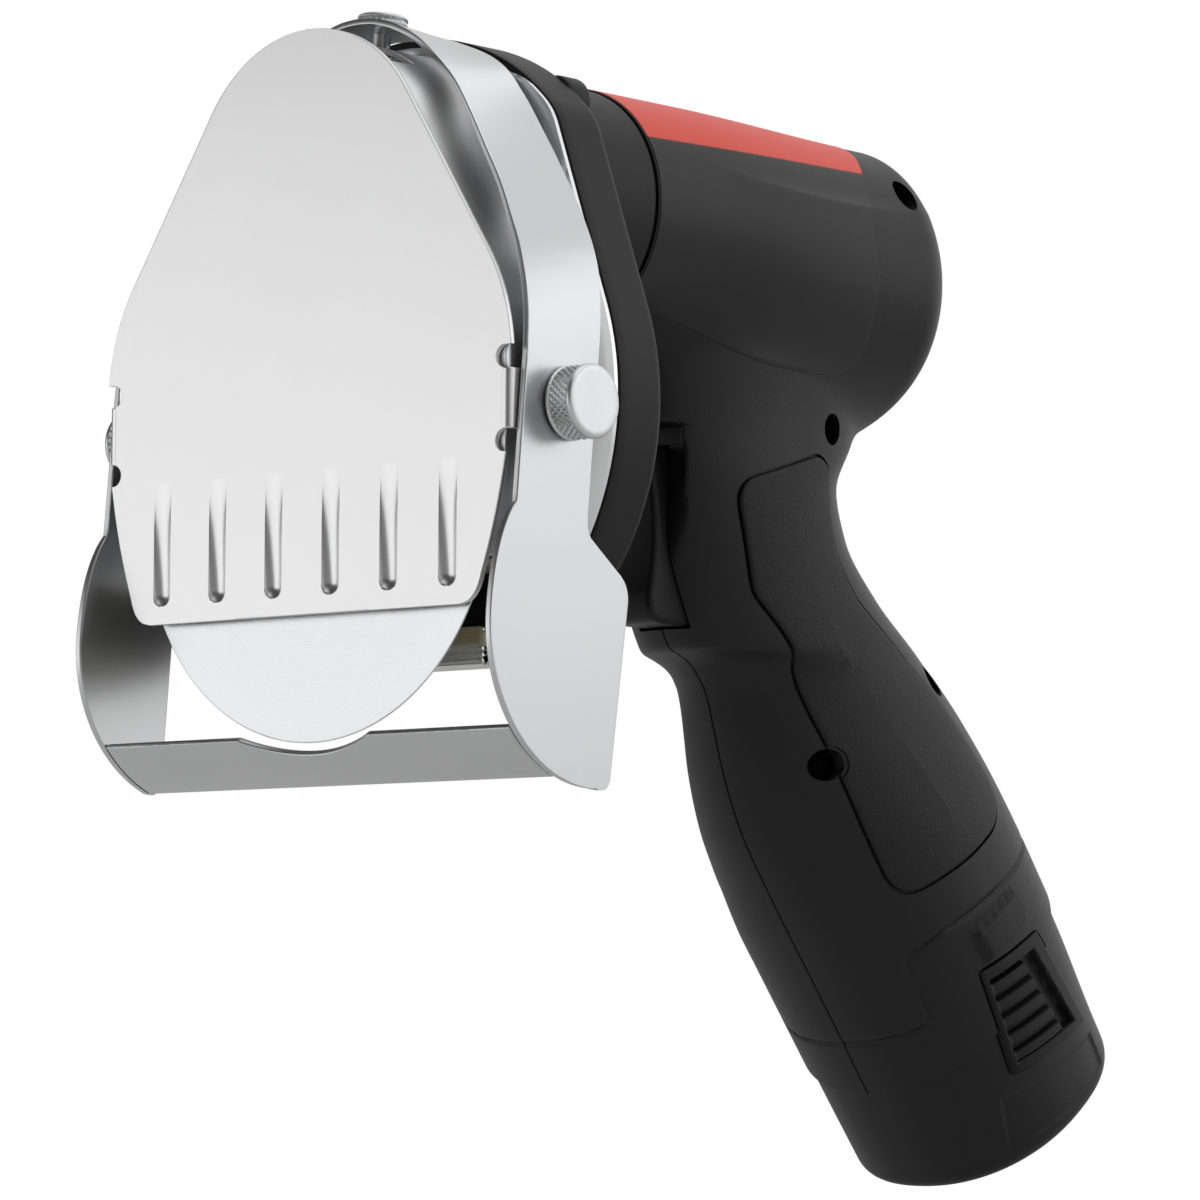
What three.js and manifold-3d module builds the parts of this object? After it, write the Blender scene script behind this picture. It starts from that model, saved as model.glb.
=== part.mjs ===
// Cordless kebab slicer: a round blade behind a glide plate, driven through a gear train by a motor
// in a pistol-shaped body, with a battery pushed into the foot of the grip.
// Millimetres, +X to the right seen from the front, +Y to the back, +Z up.
// The origin lies on the blade's axis, on the front face of the glide plate.
import * as THREE from 'three';
import { mergeVertices } from 'three/addons/utils/BufferGeometryUtils.js';
import Module from 'manifold-3d';

const wasm = await Module();
wasm.setup();

// Fits and facets
const FIT = 0.3; // gap between pieces that touch
const ROUND = 20; // sides of a large round piece
const BLADE_SIDES = 40;
const INNER_ROUND = 16; // sides of a motor, bearing, spindle or knob
const SMALL_ROUND = 8; // sides of a pin, screw or bore
const ARC_STEPS = 4; // steps on each arc of an outline
const CORNER_STEPS = 2; // steps on a rounded corner
const HEX = 6;
const CAP_STEPS = 3; // steps over the round end of a groove
const FAR = 400; // reach of a cutting block

// Blade and spindle
const BLADE_R = 50;
const BLADE_T = 1.2;
const BLADE_Y = 3.6; // front face of the blade
const SPINDLE_R = 4;
const FLANGE_R = 10;
const FLANGE_T = 3;
const SCREW_HEAD_R = 8;
const SCREW_HEAD_T = 1.5;
const SCREW_SHANK_R = 2;
const SCREW_SHANK_L = 9;
const BEARING_R = 8;
const BEARING_W = 4;
const COLLAR_R = 5.5; // spindle between the flange and the front bearing

// Glide plate: top arc, straight flanks, shoulder arcs, slow lower flanks and a straight foot
const SHEET = 1.2;
const PLATE_TOP_R = 33.4;
const PLATE_TOP_Z = 66;
const BLADE_ROOM = 8; // from the blade's edge to the plate's widest point
const SHOULDER_X = 15;
const SHOULDER_Z = 25.5;
const FLANK_R = 126;
const PLATE_FOOT_Z = -23.6;
const PLATE_CORNER = 6;
const GROOVES = 6;
const GROOVE_PITCH = 16.4;
const GROOVE_R = 4;
const GROOVE_DEPTH = 0.75;
const GROOVE_FOOT_Z = -17.2;
const GROOVE_L = 21;
const TAB_H = 12.4;
const TAB_L = 24;
const TAB_NOTCH_R = 2.35;
const TAB_NOTCH_IN = 1.4; // notch centre inside the tab's face

// Hood: the steel pan behind the glide plate, on a back sheet as large as the gear case
const HOOD_FOOT_Z = -14;
const HOOD_REAR_Y = 31.2;
const HOOD_NOTCH_HALF = 18;
const HOOD_NOTCH_Y = 13;

// Guide: strap over the hood with two paddles, and a rolled bar between them, on the side pivots
const STRAP_SHEET = 1.5;
const STRAP_TOP_GAP = 2.1; // more room over the hood than at its sides, for the tilt
const PIVOT_Y = 15.4;
const PIVOT_Z = 17.6;
const GUIDE_TILT = THREE.MathUtils.degToRad(5.25);
const LEG_FRONT = -13; // strap edges, measured from the pivot
const LEG_REAR = 9;
const STRAP_TOP_FRONT = -5.2;
const STRAP_TOP_REAR = 4.4;
const PADDLE_R = 32;
const PADDLE_Y = 13.5;
const PADDLE_UP = 5.2; // paddle's middle above the blade's radius, below the pivot
const PADDLE_REAR = 23.2;
const PADDLE_HEEL_UP = 11.3; // flared paddle's widest point above its middle
const PADDLE_TAPER = 2; // flared paddle narrower at its foot
const PADDLE_CORNER = 3; // rounding at its foot
const PADDLE_HEEL = 4; // rounding at its widest point
const PADDLE_LIFT = 7; // from there up to the leg
const LEG_ROUND = 4; // rounding where it meets the leg
const PLAIN_ROUND = 9; // rounding at the plain paddle's foot
const BAR_FROM = THREE.MathUtils.degToRad(226);
const BAR_TO = THREE.MathUtils.degToRad(256);
const BAR_BLADE_GAP = 2.5;
const GUIDE_OVER = THREE.MathUtils.degToRad(1.5); // further back than at rest

// Knurled thumb screws
const KNOB_R = 7.7;
const KNOB_T = 7.4;
const KNOB_SHANK_R = 2;
const KNOB_EDGE = 0.7;
const TOP_KNOB_R = 5.4;
const TOP_KNOB_T = 3.6;
const TOP_NUT_PLAY = 1.3; // below the hood's crown, for the tilt
const NUT_R = 4;
const NUT_T = 3.4;

// Gears: motor pinion, idler and spindle gear in one upright row
const GEAR_MODULE = 1;
const SPINDLE_TEETH = 36;
const IDLER_TEETH = 47;
const PINION_TEETH = 12;
const PRESSURE = THREE.MathUtils.degToRad(20);
const BACKLASH = 0.36;
const ADDENDUM = 0.85;
const DEDENDUM = 1.3;
const GEAR_W = 5;
const AXLE_R = 3;

// Gear case with its cover and the round neck that carries the body
const CASE_OVER = 2; // case wider than the glide plate, at its round foot
const CASE_Z = 21;
const CASE_FOOT_Z = -30.5; // flat under the round foot
const CASE_CROWN_R = 55; // slow arc over the top
const CASE_CROWN_Z = 46.6;
const CASE_CORNER_R = 15;
const CASE_CORNER_TURN = THREE.MathUtils.degToRad(43.8); // where the crown meets a corner
const CASE_FRONT_Y = 31.5;
const SEAT_FLOOR_T = 2.1; // case wall behind the rear bearing
const CASE_WALL = 2.4;
const CASE_BACK_T = 3;
const CASE_EDGE = 1.2;
const COVER_T = 2;
const COVER_BOSS_L = 7;
const COVER_LIP_T = 1; // lip in front of the front bearing
const CASE_SCREW_X = 36;
const CASE_SCREW_UPPER_Z = 48;
const CASE_SCREW_LOWER_Z = 4;
const CASE_SCREW_R = 1.5;
const CASE_BOSS_R = 4;
const LUG_X = 30;
const LUG_Z = 87;
const LUG_R = 5.5;
const LUG_L = 4.5;
const NECK_R = 26.7;
const NECK_END_Y = 81.7;
const NECK_WALL = 3;
const SPIGOT_L = 9;

// Lamp behind the blade
const LAMP_HALF = 32;
const LAMP_FOOT_Z = -34;
const LAMP_H = 8;
const LAMP_FRONT_Y = 20.5;
const LAMP_RIBS = 16;
const LAMP_WALL = 1.6;
const LAMP_BOARD_T = 1.2;

// Motor
const MOTOR_R = 18.5;
const MOTOR_FRONT_Y = 91;
const MOTOR_L = 56;
const MOTOR_WALL = 1.4;
const MOTOR_NOSE_R = 6;
const MOTOR_NOSE_L = 4;
const MOTOR_CAP_L = 7;
const MOTOR_CAP_STEP = 1; // smaller than the can
const ARMATURE_FRONT_ROOM = 8;
const ARMATURE_REAR_ROOM = 10;
const COMMUTATOR_ROOM = 2;
const SHAFT_R = 1.6;
const ARMATURE_R = 12;
const BUSH_R = 4.5;
const BUSH_L = 6;

// Clamshell body
const WALL = 2.8;
const BARREL_R = 27;
const BARREL_FRONT_Y = 82;
const BARREL_ROUND_Y = 110; // round up to here, then taller and lower towards the end
const BARREL_DROP = 6.6;
const BARREL_GROW = 5.4;
const DOME_START_Y = 177.6;
const DOME_L = 19;
const DOME_TURN = THREE.MathUtils.degToRad(82); // flat beyond this
const BARREL_STEPS = 3;
const SEAM_GAP = 0.3;
const SECTION_POWER = 2.25; // roundness of the grip's sections: 2 is an ellipse
const SECTION_POINTS = 16;
const RIB_T = 2.5;
const FRONT_RIB_IN = 12; // from the motor's front face
const REAR_RIB_IN = 6; // from the motor's rear face
const RIB_SINK = 1; // of a rib into the wall
const SHELL_SCREW_R = 1.4;
const SHELL_SCREW_HEAD_R = 2.9;
const SHELL_SCREW_HEAD_T = 2.4;
const WELL_R = 3.6;
const WELL_FLOOR_X = 8;
const SCREW_BOSS_R = 4.8;
const SCREW_DEPTH = 11;
const SHELL_SCREWS = [[175.6, 84], [152, 28], [149.2, -48], [190, -26.6]]; // Y and Z of each well

// Grip lines: front, back and half-width of the body below the barrel, as [Z, value] stations
const GRIP_FRONT = [
  [-165, 226], [-121, 190], [-98, 171.4], [-77, 154.5], [-60, 143], [-40, 134], [-31, 130],
  [-24, 121], [-16, 114], [0, 107], [26, 100], [60, 92],
];
const GRIP_BACK = [
  [-165, 308.8], [-100, 256.8], [-84, 246.1], [-65, 232.7], [-49, 221.5], [-35, 210.7], [-22, 198.7],
  [-9, 182.2], [4, 170.3], [15, 167], [27, 173.5], [40, 178], [60, 188],
];
const GRIP_HALF = [
  [-165, 30], [-110, 31.5], [-84, 32], [-65, 31.3], [-49, 29], [-35, 25.5], [-22, 22.2], [0, 20.6],
  [27, 20.6], [60, 23],
];
const GRIP_STATIONS = [60, 36, 16, 0, -14, -21, -29, -38, -54, -76, -165];
const INNER_STATIONS = [60, 36, 16, -14, -38, -76, -165];
const INNER_POINTS = 12;

// Soft inlay on each side of the grip
const INLAY_PROUD = 0.5;
const INLAY_DEPTH = 1;
const INLAY_X = 9;
const INLAY_WELL_GAP = 1.5; // around a screw well
const INLAY_OUTLINE = [ // Y and Z
  [119.8, 9.3], [125.9, -10.9], [135, -19.5], [141, -28], [149.5, -44.7], [158.5, -62.3], [166, -73.6],
  [171.5, -76.1], [198, -60.1], [202.4, -53], [192.5, -37.2], [171.6, -18.5], [159.8, -10.2], [154, -1.5],
  [152.2, 10], [150.5, 20.3], [146.1, 21.6], [122.1, 14.3],
];

// Trigger and its switch
const TRIGGER_HALF = 7;
const TRIGGER_FRONT_Y = 102.5;
const TRIGGER_REAR_Y = 125;
const TRIGGER_TOP_Z = 21;
const TRIGGER_FOOT_Z = -11.5;
const TRIGGER_HOLLOW = 4;
const TRIGGER_EDGE = 3; // rounding of its front edges
const TRIGGER_TRAVEL = 6;
const PLUNGER_HALF = 3;
const PLUNGER_L = 9;
const RECESS_HALF = 12.5;
const RECESS_Y = 109;
const BEZEL_T = 4;
const BEZEL_RIM = 3;
const RECESS_HEAD = 4; // above the trigger
const SWITCH_HALF = 9;
const SWITCH_L = 20;
const SWITCH_FOOT_Z = -9;
const SWITCH_TOP_Z = 19;
const SWITCH_RIB_FRONT = 4;
const SWITCH_RIB_REAR = 14;
const SWITCH_RIB_IN = 2; // ribs lower than the switch

// Handle axis: rake from the vertical, and place of the axis across it
const RAKE = THREE.MathUtils.degToRad(40);
const GRIP_T = 102;
const COLLAR_S = 208; // end of the clamshell, along the handle axis
const COLLAR_SKEW = THREE.MathUtils.degToRad(12);
const STRIKE_S = 186.8;
const STRIKE_L = 8.3;
const STRIKE_W = 18;
const STRIKE_PROUD = 1.3;

// Battery
const BATTERY_INSET = 0.9;
const BATTERY_SKEW = THREE.MathUtils.degToRad(-2);
const BASE_ROOM = 4.1; // from the board to the base plate
const BASE_T = 3;
const BASE_RIM = 2.6;
const CELL_R = 9.1;
const CELL_L = 65;
const CELL_TOP_S = 172;
const INSERT_WALL = 2;
const INSERT_CORNER = 5;
const BOARD_T = 1.6;
const TERMINAL_L = 8;
const TERMINAL_HALF = 13;
const TERMINAL_CORNER = 2;
const TERMINAL_RIB_HALF = 4;
const TERMINAL_RIB_T = 3;
const TERMINAL_RIB_IN = 2; // from the block's upper end
const LATCH_TOP_S = 198;
const LATCH_L = 28.2;
const LATCH_TOP_W = 21.2;
const LATCH_FOOT_W = 27.6;
const LATCH_T = -3.6; // middle of a latch, across the handle axis
const LATCH_LEAN = 0.22; // fall of its ends towards the back
const LATCH_X = 24.5; // inner face of a latch
const LATCH_TRAVEL = 2;
const LATCH_PROUD = 0.4;
const LATCH_RIBS = 5;
const LATCH_FRAME = 3;
const LATCH_RIB_DEPTH = 1.4;
const LATCH_WAY = 8; // depth of its notch in the collar

// Worked out from the sizes above
const SHOULDER_R = BLADE_R + BLADE_ROOM - SHOULDER_X;
const PLATE_HALF = SHOULDER_X + SHOULDER_R;
const CASE_R = PLATE_HALF + CASE_OVER;
const PADDLE_Z = PADDLE_UP - BLADE_R;
const PADDLE_REAR_Z = PADDLE_Z + PADDLE_HEEL_UP;
const HOOD_INSET = SHEET + 2 * FIT;
const HOOD_SIDE_X = PLATE_HALF - HOOD_INSET - SHEET;
const FLANK_FALL = (SHOULDER_Z - PIVOT_Z + NUT_R) ** 2 / 2 / FLANK_R;
const PIVOT_NUT_X = HOOD_SIDE_X - FLANK_FALL - FIT;
const TAB_OUT = PLATE_HALF - FIT;
const STRAP_OUT = PLATE_HALF + STRAP_SHEET;
const STRAP_CROWN = PLATE_TOP_Z + PLATE_TOP_R + STRAP_TOP_GAP + STRAP_SHEET - PIVOT_Z; // above the pivot
const HOOD_CROWN = PLATE_TOP_Z + PLATE_TOP_R - HOOD_INSET - PIVOT_Z;
const TOP_KNOB_AT = (STRAP_TOP_FRONT + STRAP_TOP_REAR) / 2; // behind the pivot
const IDLER_Z = GEAR_MODULE * (SPINDLE_TEETH + IDLER_TEETH) / 2;
const MOTOR_Z = IDLER_Z + GEAR_MODULE * (IDLER_TEETH + PINION_TEETH) / 2;
const COVER_REAR_Y = CASE_FRONT_Y + COVER_T;
const GEAR_FRONT_Y = COVER_REAR_Y + FIT;
const REAR_BEARING_Y = GEAR_FRONT_Y + GEAR_W + FIT;
const REAR_SEAT_Y = REAR_BEARING_Y + BEARING_W + FIT;
const CASE_REAR_Y = REAR_SEAT_Y + SEAT_FLOOR_T;
const CASE_FLOOR_Y = CASE_REAR_Y - CASE_BACK_T;
const FRONT_BEARING_Y = CASE_FRONT_Y - COVER_BOSS_L + COVER_LIP_T + FIT;
const MOTOR_REAR_Y = MOTOR_FRONT_Y + MOTOR_L;
const CELL_X = CELL_R + FIT / 2;
const BOARD_S = CELL_TOP_S + CELL_L + FIT;
const BATTERY_S = BOARD_S + BOARD_T + BASE_ROOM + BASE_T;
const INSERT_HALF = 2 * CELL_X + FIT + INSERT_WALL;
const INSERT_TOP_S = CELL_TOP_S - FIT - INSERT_WALL;
const GRIP_WAY = new THREE.Vector3(0, Math.sin(RAKE), -Math.cos(RAKE));
const GRIP_ACROSS = new THREE.Vector3(0, Math.cos(RAKE), Math.sin(RAKE));
const ACROSS_X = new THREE.Vector3(1, 0, 0);

// Finishes
const finish = (color, roughness, metalness) => ({ color, roughness, metalness });
const STEEL = finish(0xd6d7d8, 0.32, 1);
const BLADE_STEEL = finish(0xe4e5e6, 0.25, 1);
const KNOB_STEEL = finish(0xb9bbbd, 0.4, 1);
const DARK_STEEL = finish(0x6f7276, 0.45, 1);
const BRASS = finish(0xb59a54, 0.4, 1);
const COPPER = finish(0xa8643a, 0.45, 1);
const CASE_BLACK = finish(0x1c1c1f, 0.6, 0);
const SHELL_BLACK = finish(0x202023, 0.55, 0);
const RUBBER = finish(0x18181a, 0.75, 0);
const CLEAR = finish(0xe9e6c8, 0.15, 0);
const BOARD_GREEN = finish(0x2f5d3a, 0.6, 0);
const CELL_BLUE = finish(0x2d5f9a, 0.4, 0);
const WHITE_NYLON = finish(0xe2e0d6, 0.5, 0);

const part = new THREE.Group();
const guide = new THREE.Group();
guide.position.set(0, PIVOT_Y, PIVOT_Z);
guide.rotation.x = -GUIDE_TILT;
part.add(guide);

// A closed geometry as a solid, with its shared points merged and its faces pointing out
function solid(geometry) {
  const loose = geometry.index ? geometry.toNonIndexed() : geometry.clone();
  loose.deleteAttribute('normal');
  loose.deleteAttribute('uv');
  const merged = mergeVertices(loose, 1e-4);
  const place = merged.attributes.position;
  const corner = [new THREE.Vector3(), new THREE.Vector3(), new THREE.Vector3()];
  const kept = [];
  let volume = 0;
  for (let i = 0; i < merged.index.count; i += 3) {
    const ids = [0, 1, 2].map((k) => merged.index.getX(i + k));
    if (ids[0] === ids[1] || ids[1] === ids[2] || ids[2] === ids[0]) continue;
    ids.forEach((id, k) => corner[k].fromBufferAttribute(place, id));
    volume += corner[0].dot(corner[1].clone().cross(corner[2]));
    kept.push(...ids);
  }
  if (volume < 0) kept.reverse();
  const vertProperties = Float32Array.from(place.array);
  const triVerts = Uint32Array.from(kept);
  return new wasm.Manifold(new wasm.Mesh({ numProp: 3, vertProperties, triVerts }));
}

const join = (first, ...rest) => rest.reduce((whole, piece) => whole.add(piece), first);
const cut = (first, ...rest) => rest.reduce((whole, piece) => whole.subtract(piece), first);
const common = (first, ...rest) => rest.reduce((whole, piece) => whole.intersect(piece), first);

// One named piece of the object
function add(name, body, look, group = part) {
  const { vertProperties, triVerts, numProp } = body.getMesh();
  const points = new Float32Array(3 * (vertProperties.length / numProp));
  for (let i = 0; i < points.length / 3; i += 1) {
    points.set(vertProperties.subarray(i * numProp, i * numProp + 3), 3 * i);
  }
  const geometry = new THREE.BufferGeometry();
  geometry.setAttribute('position', new THREE.BufferAttribute(points, 3));
  geometry.setIndex(Array.from(triVerts));
  geometry.computeVertexNormals();
  const mesh = new THREE.Mesh(geometry, new THREE.MeshStandardMaterial(look));
  mesh.name = name;
  group.add(mesh);
}

// Basic bodies
function block(x0, x1, y0, y1, z0, z1) {
  const geometry = new THREE.BoxGeometry(x1 - x0, y1 - y0, z1 - z0);
  geometry.translate((x0 + x1) / 2, (y0 + y1) / 2, (z0 + z1) / 2);
  return solid(geometry);
}

function rodY(r, y0, y1, x = 0, z = 0, sides = SMALL_ROUND) {
  const geometry = new THREE.CylinderGeometry(r, r, y1 - y0, sides);
  geometry.translate(x, (y0 + y1) / 2, z);
  return solid(geometry);
}

function rodX(r, x0, x1, y, z, sides = SMALL_ROUND) {
  const geometry = new THREE.CylinderGeometry(r, r, x1 - x0, sides);
  geometry.rotateZ(Math.PI / 2);
  geometry.translate((x0 + x1) / 2, y, z);
  return solid(geometry);
}

function rodZ(r, z0, z1, x, y, sides = SMALL_ROUND) {
  const geometry = new THREE.CylinderGeometry(r, r, z1 - z0, sides);
  geometry.rotateX(Math.PI / 2);
  geometry.translate(x, y, (z0 + z1) / 2);
  return solid(geometry);
}

// A profile of [radius, Y] points turned about an axis along Y
function turned(profile, z = 0, sides = ROUND) {
  const points = profile.map(([r, y]) => new THREE.Vector2(r, y));
  const geometry = new THREE.LatheGeometry(points, sides);
  geometry.translate(0, 0, z);
  return solid(geometry);
}

function ring(outer, inner, y0, y1, z = 0, sides = ROUND) {
  return turned([[inner, y0], [outer, y0], [outer, y1], [inner, y1], [inner, y0]], z, sides);
}

// An outline in the X-Z plane, carried from y0 to y1
function sheetXZ(outline, y0, y1) {
  const settings = { depth: y1 - y0, bevelEnabled: false, curveSegments: ARC_STEPS };
  const geometry = new THREE.ExtrudeGeometry(outline, settings);
  geometry.rotateX(Math.PI / 2);
  geometry.translate(0, y1, 0);
  return geometry;
}

// An outline in the Y-Z plane, carried from x0 to x1
function sheetYZ(outline, x0, x1, steps = ARC_STEPS) {
  const settings = { depth: x1 - x0, bevelEnabled: false, curveSegments: steps };
  const geometry = new THREE.ExtrudeGeometry(outline, settings);
  const across = new THREE.Vector3(0, 1, 0);
  const up = new THREE.Vector3(0, 0, 1);
  geometry.applyMatrix4(new THREE.Matrix4().makeBasis(across, up, ACROSS_X));
  geometry.translate(x0, 0, 0);
  return geometry;
}

// An outline across the handle, in X and the distance across the axis, carried from s0 to s1 along it
function alongGrip(outline, s0, s1, steps = CORNER_STEPS) {
  const settings = { depth: s1 - s0, bevelEnabled: false, curveSegments: steps };
  const geometry = new THREE.ExtrudeGeometry(outline, settings);
  const back = GRIP_WAY.clone().negate();
  geometry.applyMatrix4(new THREE.Matrix4().makeBasis(ACROSS_X, GRIP_ACROSS, back));
  const end = GRIP_WAY.clone().multiplyScalar(s1);
  geometry.translate(end.x, end.y, end.z);
  return solid(geometry);
}

// An outline on the handle's side, in [across, along] points, carried from x0 to x1
function besideGrip(points, x0, x1) {
  const outline = new THREE.Shape(points.map(([t, s]) => new THREE.Vector2(GRIP_T + t, -s)));
  const settings = { depth: x1 - x0, bevelEnabled: false };
  const geometry = new THREE.ExtrudeGeometry(outline, settings);
  const back = GRIP_WAY.clone().negate();
  geometry.applyMatrix4(new THREE.Matrix4().makeBasis(GRIP_ACROSS, back, ACROSS_X));
  geometry.translate(x0, 0, 0);
  return solid(geometry);
}

// Everything past a plane that crosses the handle axis at s, skewed from square
function pastGrip(s, skew) {
  const geometry = new THREE.BoxGeometry(FAR, FAR, FAR);
  geometry.translate(0, 0, -FAR / 2);
  geometry.rotateX(RAKE + skew);
  const at = GRIP_WAY.clone().multiplyScalar(s).addScaledVector(GRIP_ACROSS, GRIP_T);
  geometry.translate(at.x, at.y, at.z);
  return solid(geometry);
}

// Rings of points joined into a closed skin, with a fan over each end
function loft(rings) {
  const count = rings[0].length;
  const points = rings.flat();
  const faces = [];
  for (let r = 0; r + 1 < rings.length; r += 1) {
    for (let i = 0; i < count; i += 1) {
      const a = r * count + i;
      const b = r * count + (i + 1) % count;
      faces.push(a, b, b + count, a, b + count, a + count);
    }
  }
  [rings[0], rings[rings.length - 1]].forEach((end, side) => {
    const middle = end.reduce((sum, p) => sum.add(p), new THREE.Vector3()).divideScalar(count);
    const hub = points.push(middle) - 1;
    const start = side * (rings.length - 1) * count;
    for (let i = 0; i < count; i += 1) {
      const pair = [start + i, start + (i + 1) % count];
      if (side === 0) pair.reverse();
      faces.push(...pair, hub);
    }
  });
  const geometry = new THREE.BufferGeometry().setFromPoints(points);
  geometry.setIndex(faces);
  return solid(geometry);
}

// A smooth line through [position, value] stations
function smoothLine(stations) {
  const from = Float32Array.from(stations.map(([z]) => z));
  const values = Float32Array.from(stations.map(([, value]) => value));
  const curve = new THREE.CubicInterpolant(from, values, 1, new Float32Array(1));
  return (z) => curve.evaluate(z)[0];
}

const gripFront = smoothLine(GRIP_FRONT);
const gripBack = smoothLine(GRIP_BACK);
const gripHalf = smoothLine(GRIP_HALF);

// The body below the barrel, swollen by grow: level sections between the front and back lines
function gripBody(grow, stations = GRIP_STATIONS, sides = SECTION_POINTS) {
  const power = 2 / SECTION_POWER;
  const bend = (value) => Math.sign(value) * Math.abs(value) ** power;
  const rings = stations.map((z) => {
    const middle = (gripFront(z) + gripBack(z)) / 2;
    const depth = (gripBack(z) - gripFront(z)) / 2 + grow / Math.cos(RAKE);
    const half = gripHalf(z) + grow;
    return Array.from({ length: sides }, (_, i) => {
      const angle = 2 * Math.PI * i / sides;
      return new THREE.Vector3(half * bend(Math.cos(angle)), middle + depth * bend(Math.sin(angle)), z);
    });
  });
  return loft(rings);
}

// The barrel with its domed end, swollen by grow: round in front, taller and lower towards the end
function barrelBody(grow, frontY, tailSteps = BARREL_STEPS, domeSteps = ARC_STEPS) {
  const stations = [[frontY, 1]];
  const tail = DOME_START_Y - BARREL_ROUND_Y;
  for (let i = 0; i <= tailSteps; i += 1) stations.push([BARREL_ROUND_Y + tail * i / tailSteps, 1]);
  for (let i = 1; i <= domeSteps; i += 1) {
    const angle = DOME_TURN * i / domeSteps;
    stations.push([DOME_START_Y + (DOME_L + grow) * Math.sin(angle), Math.cos(angle)]);
  }
  const rings = stations.map(([y, share]) => {
    const late = THREE.MathUtils.smoothstep(y, BARREL_ROUND_Y, DOME_START_Y);
    const middle = MOTOR_Z - BARREL_DROP * late;
    const half = share * (BARREL_R + grow);
    const rise = share * (BARREL_R + BARREL_GROW * late + grow);
    return Array.from({ length: ROUND }, (_, i) => {
      const angle = 2 * Math.PI * i / ROUND;
      return new THREE.Vector3(half * Math.cos(angle), y, middle + rise * Math.sin(angle));
    });
  });
  return loft(rings);
}

// Direction of the straight flank that touches a top arc and a shoulder arc
function flankTurn(topR, topZ, sideR, sideX, sideZ) {
  const away = Math.hypot(sideX, sideZ - topZ);
  return Math.atan2(sideZ - topZ, sideX) + Math.acos((topR - sideR) / away);
}

// The glide plate's outline, drawn in by inset
function plateOutline(inset) {
  const topR = PLATE_TOP_R - inset;
  const sideR = SHOULDER_R - inset;
  const flankR = FLANK_R - inset;
  const flankX = PLATE_HALF - FLANK_R;
  const foot = PLATE_FOOT_Z + inset;
  const turn = flankTurn(topR, PLATE_TOP_Z, sideR, SHOULDER_X, SHOULDER_Z);
  const low = Math.asin((SHOULDER_Z - foot - PLATE_CORNER) / flankR);
  const footX = flankX + flankR * Math.cos(low);
  const footZ = foot + PLATE_CORNER;
  const outline = new THREE.Shape();
  outline.moveTo(footX, footZ);
  outline.absarc(flankX, SHOULDER_Z, flankR, -low, 0);
  outline.absarc(SHOULDER_X, SHOULDER_Z, sideR, 0, turn);
  outline.absarc(0, PLATE_TOP_Z, topR, turn, Math.PI - turn);
  outline.absarc(-SHOULDER_X, SHOULDER_Z, sideR, Math.PI - turn, Math.PI);
  outline.absarc(-flankX, SHOULDER_Z, flankR, Math.PI, Math.PI + low);
  outline.quadraticCurveTo(-footX + PLATE_CORNER / 4, foot, -footX + PLATE_CORNER, foot);
  outline.lineTo(footX - PLATE_CORNER, foot);
  outline.quadraticCurveTo(footX - PLATE_CORNER / 4, foot, footX, footZ);
  return outline;
}

// The strap's arch: straight legs, shoulders and a top arc
function archOutline(out, topOut, foot) {
  const topR = PLATE_TOP_R + topOut;
  const sideR = SHOULDER_R + out;
  const turn = flankTurn(topR, PLATE_TOP_Z, sideR, SHOULDER_X, SHOULDER_Z);
  const outline = new THREE.Shape();
  outline.moveTo(PLATE_HALF + out, foot);
  outline.lineTo(PLATE_HALF + out, SHOULDER_Z);
  outline.absarc(SHOULDER_X, SHOULDER_Z, sideR, 0, turn);
  outline.absarc(0, PLATE_TOP_Z, topR, turn, Math.PI - turn);
  outline.absarc(-SHOULDER_X, SHOULDER_Z, sideR, Math.PI - turn, Math.PI);
  outline.lineTo(-PLATE_HALF - out, foot);
  return outline;
}

// The gear case's outline, drawn in by inset: round foot cut flat, straight flanks, corners and crown
function caseOutline(inset) {
  const low = CASE_R - inset;
  const corner = CASE_CORNER_R - inset;
  const crown = CASE_CROWN_R - inset;
  const cornerX = (CASE_CROWN_R - CASE_CORNER_R) * Math.cos(CASE_CORNER_TURN);
  const cornerZ = CASE_CROWN_Z + (CASE_CROWN_R - CASE_CORNER_R) * Math.sin(CASE_CORNER_TURN);
  const away = Math.hypot(cornerX, cornerZ - CASE_Z);
  const flank = Math.atan2(cornerZ - CASE_Z, cornerX) - Math.acos((CASE_R - CASE_CORNER_R) / away);
  const chord = Math.asin((CASE_Z - CASE_FOOT_Z - inset) / low);
  const outline = new THREE.Shape();
  outline.absarc(cornerX, cornerZ, corner, flank, CASE_CORNER_TURN);
  outline.absarc(0, CASE_CROWN_Z, crown, CASE_CORNER_TURN, Math.PI - CASE_CORNER_TURN);
  outline.absarc(-cornerX, cornerZ, corner, Math.PI - CASE_CORNER_TURN, Math.PI - flank);
  outline.absarc(0, CASE_Z, low, Math.PI - flank, Math.PI + chord);
  outline.absarc(0, CASE_Z, low, 2 * Math.PI - chord, 2 * Math.PI + flank);
  return outline;
}

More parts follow.
